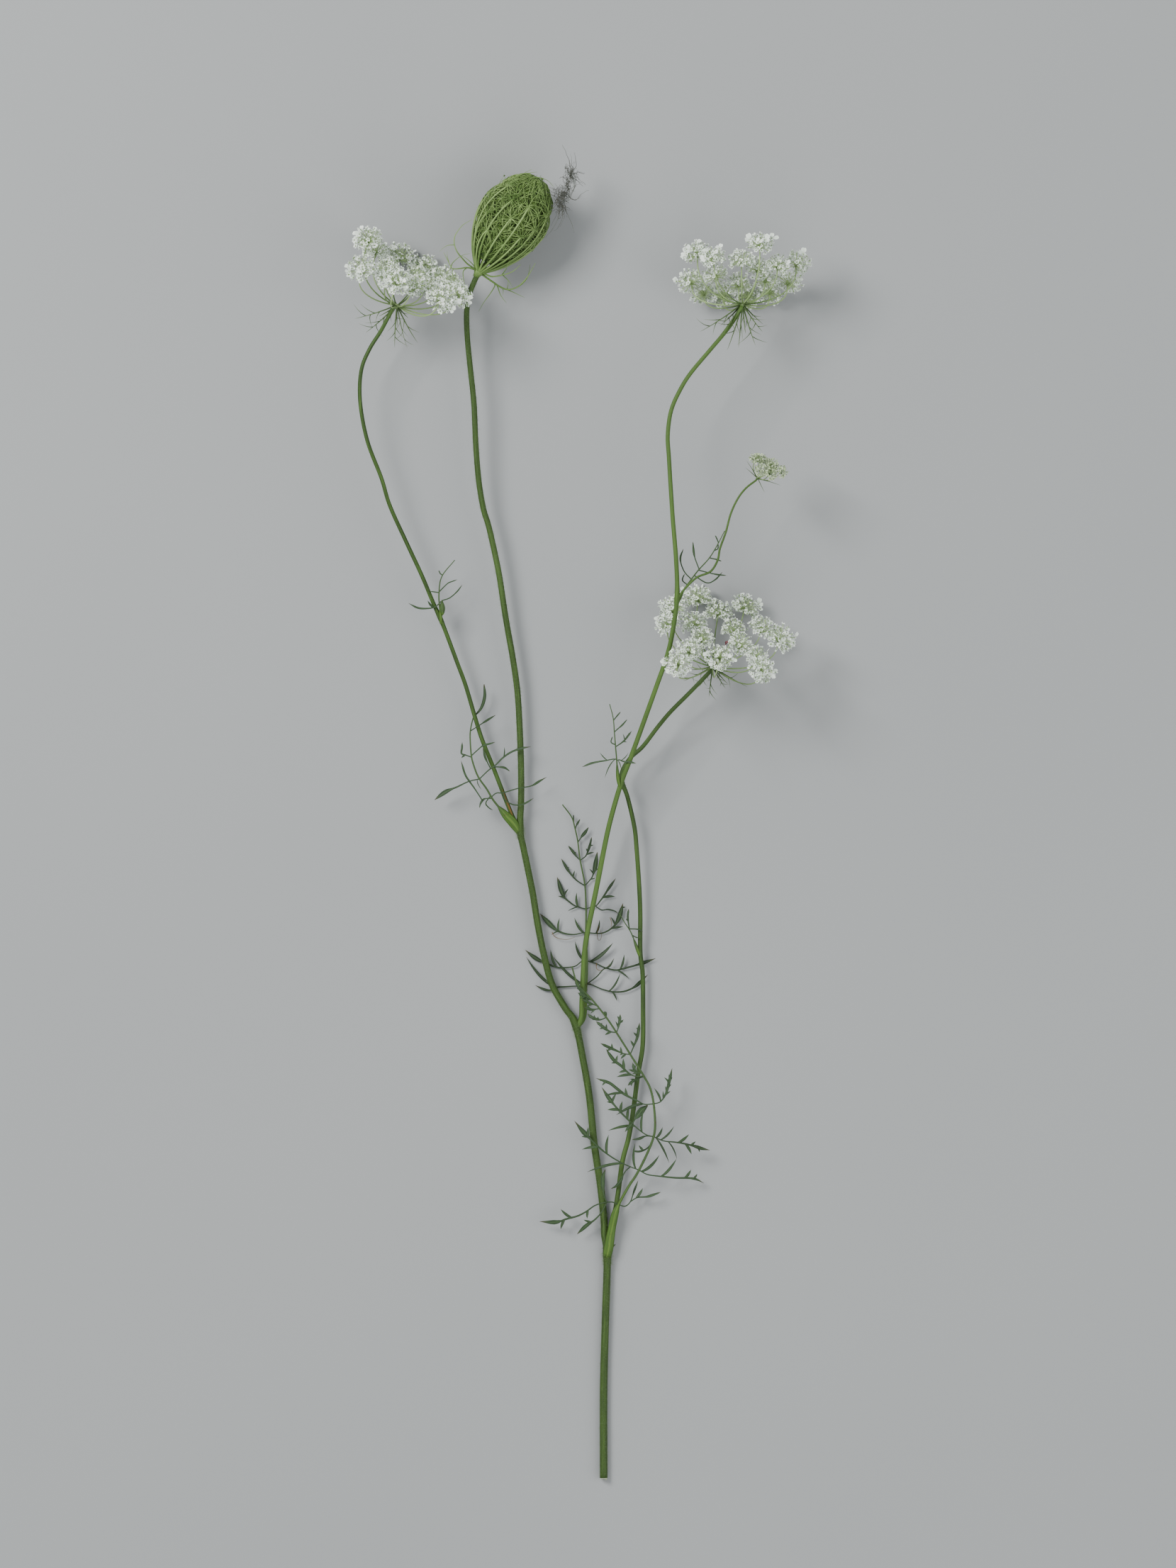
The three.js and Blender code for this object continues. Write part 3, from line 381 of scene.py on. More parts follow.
def thread_finish(name, dark, pale, roughness):
    """Two tones of one colour in streaks, and a darker one where `tint` is high."""
    f = Finish(name, roughness)
    grain = f.attribute("grain", "Vector")
    streak = f.noise(grain, 2.0, 3.0, (1.0, 1.0, 0.3))
    tone = f.blend(f.between(streak, 0.35, 0.65), dark, pale)
    tone = f.blend(f.maths("MULTIPLY", f.attribute("tint"), 0.6), tone, dark)
    f.bump(streak, 0.3)
    return f.colour(tone)


petal_white = petal_finish(
    "petal_white", rgb(236, 240, 232), rgb(184, 199, 180), rgb(158, 184, 122), rgb(104, 134, 58)
)
petal_young = petal_finish(
    "petal_young", rgb(214, 224, 192), rgb(126, 150, 94), rgb(80, 108, 46), rgb(54, 82, 26)
)
fruit_green = thread_finish("fruit_green", rgb(46, 68, 18), rgb(92, 118, 48), 0.7)
hair_pale = thread_finish("hair_pale", rgb(84, 106, 62), rgb(132, 150, 108), 0.5)
pith_pale = thread_finish("pith_pale", rgb(150, 164, 122), rgb(212, 216, 188), 0.8)
withered_grey = thread_finish("withered_grey", rgb(66, 60, 48), rgb(104, 112, 106), 0.85)
dark_red = thread_finish("dark_red", rgb(70, 14, 24), rgb(112, 26, 40), 0.5)


def table_finish():
    f = Finish("table_pale", 0.75)
    cloud = f.noise(object_place(f), 3.0, 2.0)
    return f.colour(f.blend(cloud, rgb(136, 138, 138), rgb(144, 146, 145)))


table.data.materials.append(table_finish())
print("finishes:", len(bpy.data.materials), "in all")

# %% [markdown]
# ## One tool for stalks, rays, threads and leaflets
#
# Nearly every piece of this plant is long and follows a curve. A leaflet is a stalk that is wide
# and flat, and a hair is one that is very thin. So one tool makes them all: a cylinder is cut into
# rings by an operator, and its rings are moved onto the curve, each with its own width and
# thickness. The cylinder for each number of sides and rings is made once and used again, which
# keeps thousands of stalks quick to make. The drawing is in millimetres; a finished piece is turned
# into metres at the very end.

# %% Curves
SEED = 7
UP = np.array([0.0, 0.0, 1.0])
SPAN_STEPS = 8  # points between two given points of a route
LOWEST = 0.02  # nothing reaches below the table
TO_METRES = Matrix.Scale(0.001, 4) @ Matrix.Translation((-1.8, -1.8, 0.0))
rng = np.random.default_rng(SEED)


def evenly(points, count):
    """The same line with `count` points at even distances."""
    gaps = np.linalg.norm(np.diff(points, axis=0), axis=1)
    run = np.concatenate([[0.0], np.cumsum(gaps)])
    at = np.linspace(0.0, run[-1], count)
    return np.stack([np.interp(at, run, points[:, k]) for k in range(3)], axis=1)


def route(points, count):
    """A smooth line through the given points, with `count` points at even distances."""
    p = np.array(points, float)
    p = np.vstack([2 * p[0] - p[1], p, 2 * p[-1] - p[-2]])
    t = np.linspace(0.0, 1.0, SPAN_STEPS, endpoint=False)[:, None]
    spans = [
        b + 0.5 * t * (c - a + t * (2 * a - 5 * b + 4 * c - d + t * (3 * b - a - 3 * c + d)))
        for a, b, c, d in zip(p, p[1:], p[2:], p[3:])
    ]
    return evenly(np.vstack([*spans, p[-2:-1]]), count)


def bezier(points, count):
    """The curve that starts at the first point, ends at the last and is pulled to the others."""
    t = np.linspace(0.0, 1.0, 4 * count)[:, None]
    lines = [np.array(p, float) for p in points]
    while len(lines) > 1:
        lines = [a + t * (b - a) for a, b in zip(lines, lines[1:])]
    return evenly(lines[0], count)


def nearest(line, point):
    """The number of the line's point that lies nearest to a given one."""
    return int(np.argmin(np.linalg.norm(line - np.array(point, float), axis=1)))


def unit(vectors):
    return vectors / np.maximum(np.linalg.norm(vectors, axis=-1, keepdims=True), 1e-9)


print("a straight route has even steps:", evenly(np.array([[0, 0, 0], [4.0, 0, 0]]), 5)[:, 0])

# %% [markdown]
# A `Template` is a small mesh that is made once by operators. Each copy only moves its corners, all
# at once, and the bmesh of the growing piece takes it in. Making each of some thousands of stalks
# with operators would be slow, and joining as many objects would be slower still.

# %% Copies of a small mesh laid into a growing one
class Template:
    """A small mesh that is copied into others, with its corners as numbers."""

    def __init__(self, name, bm):
        for face in bm.faces:
            face.smooth = True
        self.mesh = bpy.data.meshes.new(name)
        bm.to_mesh(self.mesh)
        bm.free()
        self.count = len(self.mesh.vertices)
        self.corners = np.empty(self.count * 3, np.float32)
        self.mesh.vertices.foreach_get("co", self.corners)
        self.corners = self.corners.reshape(-1, 3).astype(float)
        self.grain = self.corners.copy()
        self.share = np.zeros(self.count)
        for kind, attribute in (("FLOAT_VECTOR", "grain"), ("FLOAT", "share"), ("FLOAT", "tint")):
            self.mesh.attributes.new(attribute, kind, "POINT")

    def lay(self, bm, corners, tint, grain=None, share=None):
        """Adds a copy of the mesh with its corners moved. `grain` and `share` may be its own."""
        grain = self.grain if grain is None else grain
        share = self.share if share is None else share
        data = self.mesh.attributes
        self.mesh.vertices.foreach_set("co", corners.astype(np.float32).ravel())
        data["grain"].data.foreach_set("vector", grain.astype(np.float32).ravel())
        data["share"].data.foreach_set("value", share.astype(np.float32))
        data["tint"].data.foreach_set("value", np.full(self.count, tint, np.float32))
        bm.from_mesh(self.mesh)


print("a template keeps grain, share and tint at each of its corners")

# %% [markdown]
# `stalk` is the tool itself. At each ring it works out which way is along, across and out, and moves
# the ring's corners there. A curve object with a bevel could draw the same stalk, but it can't be
# flat in one place and round in another, and it carries no values for the finishes.

# %% Stalks along a line, and finished pieces
cylinders = {}


def cylinder(sides, rings):
    """An upright cylinder of one unit, cut into rings, with the ring of each corner."""
    if (sides, rings) not in cylinders:
        bm = bmesh.new()
        bmesh.ops.create_cone(
            bm, cap_ends=True, segments=sides, radius1=1.0, radius2=1.0, depth=1.0
        )
        upright = [e for e in bm.edges if abs(e.verts[0].co.z - e.verts[1].co.z) > 0.5]
        if rings > 2:
            bmesh.ops.subdivide_edges(bm, edges=upright, cuts=rings - 2, use_grid_fill=True)
        made = Template(f"cylinder_{sides}_{rings}", bm)
        made.ring = np.rint((made.corners[:, 2] + 0.5) * (rings - 1)).astype(int)
        cylinders[sides, rings] = made
    return cylinders[sides, rings]


def stalk(bm, line, width, thickness=None, sides=6, face=UP, tint=0.0, ribs=0.0, fold=0.0):
    """Lays a cylinder along a line. A flat one lies square to `face`; `ribs` raises every other
    side, and `fold` lifts its two edges."""
    rings = len(line)
    base = cylinder(sides, rings)
    width = np.broadcast_to(width, rings)
    thickness = width if thickness is None else np.broadcast_to(thickness, rings)
    along = unit(np.gradient(line, axis=0))
    across = unit(np.cross(along, face))
    out = np.cross(across, along)
    step = np.linalg.norm(line[1] - line[0])
    ring, x, y = base.ring, base.corners[:, 0], base.corners[:, 1]
    stand = 1.0 + ribs * np.cos(0.5 * sides * np.arctan2(x, y))
    rise = y * stand * thickness[ring] + (fold * width)[ring] * x * x
    corners = line[ring] + across[ring] * (x * stand * width[ring])[:, None]
    corners = corners + out[ring] * rise[:, None]
    corners[:, 2] = np.maximum(corners[:, 2], LOWEST)
    grain = np.stack([x, y, ring * step], axis=1)
    base.lay(bm, corners, tint, grain, ring / (rings - 1))


def piece(name, bm, material, slot, *nodes):
    """Turns what has grown into a finished object that stands for some of the frame's nodes."""
    bmesh.ops.transform(bm, matrix=TO_METRES, verts=bm.verts)
    mesh = bpy.data.meshes.new(name)
    bm.to_mesh(mesh)
    bm.free()
    mesh.polygons.foreach_set("use_smooth", np.ones(len(mesh.polygons), bool))
    mesh.materials.append(material)
    made = bpy.data.objects.new(name, mesh)
    bpy.context.scene.collection.objects.link(made)
    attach(made, "root")
    if nodes:
        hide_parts(*nodes)
    triangles = sum(len(p.vertices) - 2 for p in mesh.polygons)
    print(f"{name}: {len(mesh.polygons)} faces, {triangles} triangles")
    return made


print("a cylinder of 6 sides and 5 rings has", cylinder(6, 5).count, "corners")

# %% [markdown]
# ## Stems
#
# The main stem zigzags a little: it turns where a branch leaves it, and it swells there into a
# node. It thins from about 3.2 mm at the cut to 2.2 mm under the nest. The branches are thinner, and
# they are smooth but for a few hairs at their nodes. Each is one long tube, with more sides than a
# plain round one needs, because every other side is raised into a rib. Its route is a short list of
# places in millimetres, with the height last, because a real stem follows no formula.

# %% Routes of the stems
MAIN_ROUTE = [
    (12.5, -281, 1.65), (12.5, -243, 1.65), (13.2, -215, 1.7), (14, -187, 2), (12.9, -178, 2.1),
    (12.6, -171, 2.2), (11, -156, 2.4), (8.5, -139.5, 2.5), (6.5, -120, 2.6), (4, -105, 2.8),
    (0.5, -88.5, 3), (-4, -81.5, 3.2), (-9.5, -71.5, 3.4), (-13, -58.5, 3.6), (-15.5, -46, 3.8),
    (-17.5, -33.5, 4), (-19.5, -23.5, 4.2), (-21.5, -14, 4.4), (-23, -6, 4.6), (-22.5, 6, 5),
    (-22.5, 19.5, 5.4), (-23, 35, 6), (-24, 52, 6.6), (-26, 66.5, 7.2), (-29, 83.5, 7.8),
    (-32, 103, 8.6), (-36, 121.5, 9.5), (-38.5, 130, 10), (-40.5, 142.5, 10.6),
    (-41.7, 158, 11.4), (-42.4, 174, 12.2), (-44, 189.5, 13), (-45.2, 202, 13.8),
    (-45.5, 212.5, 14.4), (-44.5, 220, 14.9), (-41.4, 227.6, 15.5),
]
LOWER_ROUTE = [
    (15, -184.2, 2.4), (16, -176, 2.8), (18.5, -161, 3), (20.5, -146.5, 3), (23, -137, 3),
    (25, -125.5, 3), (27, -110, 3), (29, -98, 3), (29.2, -82, 3.2), (29, -67, 3.7),
    (28, -58, 4), (28, -42.5, 4.8), (27.5, -29.5, 5.5), (26.5, -15, 6.5), (25.5, -5, 7.2),
    (22.5, 8, 8), (20.2, 14, 8.4), (20.5, 19, 8.7), (24, 24.5, 9.2), (29, 29, 10),
    (35.5, 37.5, 11.6), (41, 44, 13), (48.5, 51.5, 14.8), (57.1, 60.4, 16.1),
]
MIDDLE_ROUTE = [
    (3, -86.2, 3.6), (3.3, -79, 4.2), (3.8, -68, 5), (4.5, -57, 6), (6, -47.5, 7), (8, -38, 8),
    (10.5, -25.5, 9.5), (14.5, -5.5, 12.5), (19.5, 12.5, 16), (24, 24.5, 18.5), (30.5, 42.5, 22.5),
    (35.5, 56.5, 25.5), (39, 66.5, 27.5), (41.5, 77, 29), (43.4, 92, 30.8), (43, 108, 32),
    (41.5, 126.5, 32.5), (40, 150.5, 32.3), (39.5, 160.5, 32), (41, 171, 31.5), (45, 180, 31),
    (49.5, 187, 30.5), (57.5, 196.5, 30), (65, 205.5, 29), (70.4, 213.7, 27.95),
]
UPPER_ROUTE = [
    (-25.8, -1.2, 5.3), (-29, 6.5, 5.5), (-34, 19.5, 6), (-39, 32, 6.6), (-42, 41.5, 7.2),
    (-46, 55, 8), (-49.5, 64.5, 8.8), (-55.5, 80.5, 10), (-59.5, 89.5, 11), (-64.5, 101.5, 12.2),
    (-71, 115.5, 13.4), (-78, 131, 14.6), (-81.5, 142.5, 15.6), (-87.5, 158.5, 17), (-90.5, 175, 18.2),
    (-90, 188, 19), (-86.5, 197, 19.6), (-81.5, 205, 20.1), (-76.2, 214.9, 20.7),
]
TWIG_ROUTE = [
    (45.3, 93.8, 31.5), (48, 97, 31.8), (52, 100.5, 32.2), (57.5, 102.8, 32.6), (60.5, 107.5, 33),
    (61.5, 112.5, 33.3), (64, 119.5, 33.6), (66, 127, 33.6), (69, 133.5, 33.4), (72.5, 138, 33),
    (76.6, 141.2, 32.4),
]
NODES = [(14, -186, 2), (1, -88.5, 3), (-23.4, -5, 4.6)]
BRANCH_NODES = [(-57, 83.5, 10.4), (20.2, 14, 8.4), (43.4, 92.5, 30.8)]
print("the main stem has", len(MAIN_ROUTE), "points on its route")


# %% [markdown]
# A branch starts inside the stem that carries it and a stalk ends inside its head, so that no gap
# shows. Those two ends are added to the route here. Cutting and joining the meshes would give a
# cleaner fork, but a node is hidden by hairs and a sheath, and separate stems stay separate pieces.

# %% Stems and branches
HEADS = {  # where each stalk ends and its head begins
    "nest": (-40.2, 230, 16.4),
    "left": (-75, 215.2, 21.5),
    "right": (71, 215.5, 27.5),
    "lower": (58.5, 62.5, 16.8),
    "small": (77.4, 142.2, 32.2),
}
STEM_RIBS = 0.016  # how far a rib stands out, as a share of the radius


def swollen(line, radius, end_radius, nodes, bulge=0.22, reach=2.8):
    """Radii along a stem that thins evenly and swells at its nodes."""
    radii = np.linspace(radius, end_radius, len(line))
    for node in nodes:
        away = np.linalg.norm(line - np.array(node, float), axis=1)
        radii = radii * (1 + bulge * np.exp(-((away / reach) ** 2)))
    return radii


def grow_stem(name, points, radii, rings, swellings, sides, finish, slot, tint):
    """A ribbed stem that stands for the frame's node of that name. Gives its line and radii."""
    bm = bmesh.new()
    line = route(points, rings)
    width = swollen(line, radii[0], radii[1], swellings)
    stalk(bm, line, width, sides=sides, ribs=STEM_RIBS, tint=tint)
    piece(name + "_ribbed", bm, finish, slot, name)
    return line, width


main_line, main_width = grow_stem(
    "main_stem", [*MAIN_ROUTE, HEADS["nest"]], (1.62, 1.12), 300, NODES, 36,
    stem_green, "stem_green", 0.1,
)
lower_line, lower_width = grow_stem(
    "branch_lower", [(13.6, -190, 2), *LOWER_ROUTE, HEADS["lower"]], (1.05, 0.86), 160,
    BRANCH_NODES, 24, branch_green, "branch_green", -0.4,
)
middle_line, middle_width = grow_stem(
    "branch_middle", [(0.4, -91.5, 3), *MIDDLE_ROUTE, HEADS["right"]], (1.12, 0.82), 180,
    BRANCH_NODES, 24, branch_green, "branch_green", 0.75,
)
upper_line, upper_width = grow_stem(
    "branch_upper", [(-22.8, -7.5, 4.6), *UPPER_ROUTE, HEADS["left"]], (0.9, 0.8), 160,
    BRANCH_NODES, 24, branch_green, "branch_green", 0.2,
)
grow_stem(
    "twig", [(43.2, 90, 30.6), *TWIG_ROUTE, HEADS["small"]], (0.5, 0.42), 60, [], 12,
    branch_green, "branch_green", 0.6,
)

# %% [markdown]
# ### Bristles
#
# The main stem is rough with short fine hairs that stand out from it, and each node wears a collar
# of longer ones. Blender's own hair would be quicker to comb, but it isn't a mesh and is lost when
# the part is handed on. So a hair is the thinnest cylinder of all, with three sides and three rings.
# Together they are one piece, so that they can have a paler finish than the stem.

# %% Bristles on the stem and its nodes
STEM_BRISTLES, BRISTLE_LENGTH, BRISTLE_RADIUS = 8800, 1.0, 0.032
COLLAR_BRISTLES, COLLAR_LENGTH = 260, 1.25
BRANCH_BRISTLES, BRANCH_BRISTLE_LENGTH = 30, 0.7


def bristle(bm, foot, out, lean, length, radius):
    """A hair that leaves square to the stem and leans as it goes."""
    bend = foot + length * (0.5 * out + 0.12 * lean)
    tip = foot + length * (0.85 * out + 0.45 * lean)
    line = np.array([foot - 0.1 * out, bend, tip])
    face = np.cross(out, lean) + 0.01
    stalk(bm, line, [radius, 0.75 * radius, 0.2 * radius], sides=3, face=face, tint=rng.random())


def bristles_on(bm, line, width, count, length, radius=0.03, spread=0.8):
    """Hairs at random places of a stem."""
    along = unit(np.gradient(line, axis=0))
    for _ in range(count):
        i = int(rng.integers(0, len(line) - 1))
        between = rng.random()
        spot = line[i] + between * (line[i + 1] - line[i])
        side = unit(np.cross(along[i], UP))
        turn = rng.uniform(0, 2 * math.pi)
        out = math.cos(turn) * side + math.sin(turn) * np.cross(side, along[i])
        size = length * rng.uniform(0.5, 1.2)
        lean = unit(-0.6 * along[i] + spread * rng.normal(size=3))
        bristle(bm, spot + out * width[i] * 0.97, out, lean, size, radius)


bm = bmesh.new()
bristles_on(bm, main_line, main_width, STEM_BRISTLES, BRISTLE_LENGTH, BRISTLE_RADIUS)
for node in NODES:
    middle = nearest(main_line, node)
    collar = slice(middle - 3, middle + 1)
    line, width = main_line[collar], 1.04 * main_width[collar]
    bristles_on(bm, line, width, COLLAR_BRISTLES, COLLAR_LENGTH, BRISTLE_RADIUS, 0.7)
for node, line, width in (
    (BRANCH_NODES[0], upper_line, upper_width),
    (BRANCH_NODES[1], lower_line, lower_width),
    (BRANCH_NODES[2], middle_line, middle_width),
):
    middle = nearest(line, node)
    collar = slice(middle - 1, middle + 2)
    bristles_on(bm, line[collar], width[collar], BRANCH_BRISTLES, BRANCH_BRISTLE_LENGTH)
piece("stem_bristles", bm, hair_pale, "stem_green")

# %% [markdown]
# ### The cut
#
# The knife left a slightly ragged end. The pith inside is whitish, and a few fibres of the rind
# stick out. The end of the stem could be painted instead, but the fibres break its outline. So the
# pith is a short plug set into the end of the stem, and the fibres are thin stalks.

# %% Cut end
FIBRES = 16
RIND_RADIUS = 1.35  # where the fibres stand

bm = bmesh.new()
cut = np.array(MAIN_ROUTE[0], float)
stalk(bm, cut + np.outer([0.6, 0.0, -0.25], [0, 1, 0]), [1.25, 1.25, 1.05], sides=16, tint=0.1)
for _ in range(FIBRES):
    turn = rng.uniform(0, 2 * math.pi)
    foot = cut + RIND_RADIUS * np.array([math.cos(turn), 0, math.sin(turn)])
    tip = foot + np.array([rng.uniform(-0.3, 0.3), -rng.uniform(0.3, 1.3), rng.uniform(-0.1, 0.2)])
    tip[2] = max(0.1, tip[2])
    foot = foot + np.array([0, 0.5, 0])
    stalk(bm, np.linspace(foot, tip, 3), [0.09, 0.08, 0.02], sides=3, tint=rng.random())
piece("cut_end", bm, pith_pale, "stem_green")

# %% [markdown]
# ## Leaves
#
# A carrot leaf is cut twice: side ribs leave the main rib in pairs, and each carries small lobes on
# both sides and a longer one at its end. One leaf could be drawn as a flat card with a cut-out, but
# it would have no folds and no thickness from the side. Here every lobe is a flat stalk that swells
# and then narrows to a point.
#
# First come the main ribs. Each has its radius, the share of it that the sheath takes, half the
# width of the sheath, and its route.

# %% Main ribs of the leaves
LEAF_RIBS = {
    "leaf_lower": (0.62, 0.17, 1.95, [
        (13.8, -187.4, 3.2), (14.3, -185, 4.1), (14.9, -182, 4.7), (15.8, -176, 5.2),
        (17.3, -169, 6.2), (19.3, -164, 6.6), (23.5, -156.5, 7.8), (26.5, -152, 8.6), (31, -143, 10),
        (34, -134.5, 11), (34, -125.5, 11.5), (32.5, -116.5, 11.5), (29.5, -110.5, 11),
        (24.5, -102.5, 10), (18.5, -93, 9), (13.5, -85.5, 8.8), (7.5, -78, 8.6), (1.5, -71.5, 8.6),
        (-1, -64, 8.8),
    ]),
    "leaf_middle": (0.5, 0.16, 1.3, [
        (0.8, -90.5, 2.4), (3.4, -86.6, 1.6), (4.2, -82.5, 1), (4.8, -75.5, 0.9), (5.2, -72, 0.9),
        (5.5, -62.5, 0.9), (5, -50.5, 0.9), (5, -40, 0.9), (4.5, -29.5, 1), (2.5, -19, 1.3),
        (1.5, -11, 1.6), (0.3, -5.5, 1.9), (-1, -1, 2.2), (-5, 4.5, 2.4),
    ]),
    "leaf_upper": (0.5, 0.26, 2.0, [
        (-23.1, -7.8, 4.6), (-24.5, -5.2, 6.4), (-26.6, -2.4, 7.6), (-29.4, 0.5, 7.9),
        (-34, 6, 8.6), (-37, 11, 9.2), (-40.5, 16, 9.8), (-42.5, 21, 10.3), (-43.5, 25, 10.8),
        (-44, 31, 10), (-44, 35.5, 7.6), (-43, 40.5, 5.6), (-42.2, 42.2, 5.4),
    ]),
    "leaf_bud": (0.36, 0.2, 0.7, [
        (-56.4, 81, 10.6), (-56.4, 83.4, 11.8), (-57, 88.5, 12.6), (-57.2, 94, 12.9),
        (-56, 101, 13), (-50.5, 108, 12.6),
    ]),
    "leaf_fork": (0.36, 0.3, 0.8, [
        (19.8, 11, 16), (18.9, 13.8, 17.6), (18.4, 17, 18.2), (18, 23, 18.8), (17.5, 29, 19.2),
        (17, 35, 19.4), (16.5, 41, 19.4), (15, 47, 19.2),
    ]),
    "leaf_twig": (0.36, 0.15, 0.7, [
        (43.7, 89.8, 30.2), (44.9, 92.4, 29.6), (46.6, 95.5, 29.2), (49.4, 99.5, 29.2),
        (52.5, 103.5, 29.2), (57, 108.5, 29.4), (60.4, 114, 29.8), (63.5, 120, 30.4),
    ]),
    "leaf_small": (0.34, 0.4, 0.75, [
        (28.1, -60.5, 4.2), (26.9, -57.2, 5), (24.2, -50, 5.8), (21.4, -45.5, 6.2), (19, -41.4, 6.2),
    ]),
}
print("main ribs:", ", ".join(LEAF_RIBS))

# %% [markdown]
# A side rib is given by its height halfway and at its tip, half the width of its end lobe, its route
# seen from above, and the tips of its lobes, some of them with half the width of the lobe. Where a
# lobe leaves its rib follows from its tip: some way back from the rib's nearest point, so that it
# points forward. Every leaf of a real plant is cut differently, so a rule for pairs of lobes would
# be shorter but would make seven copies of one leaf.

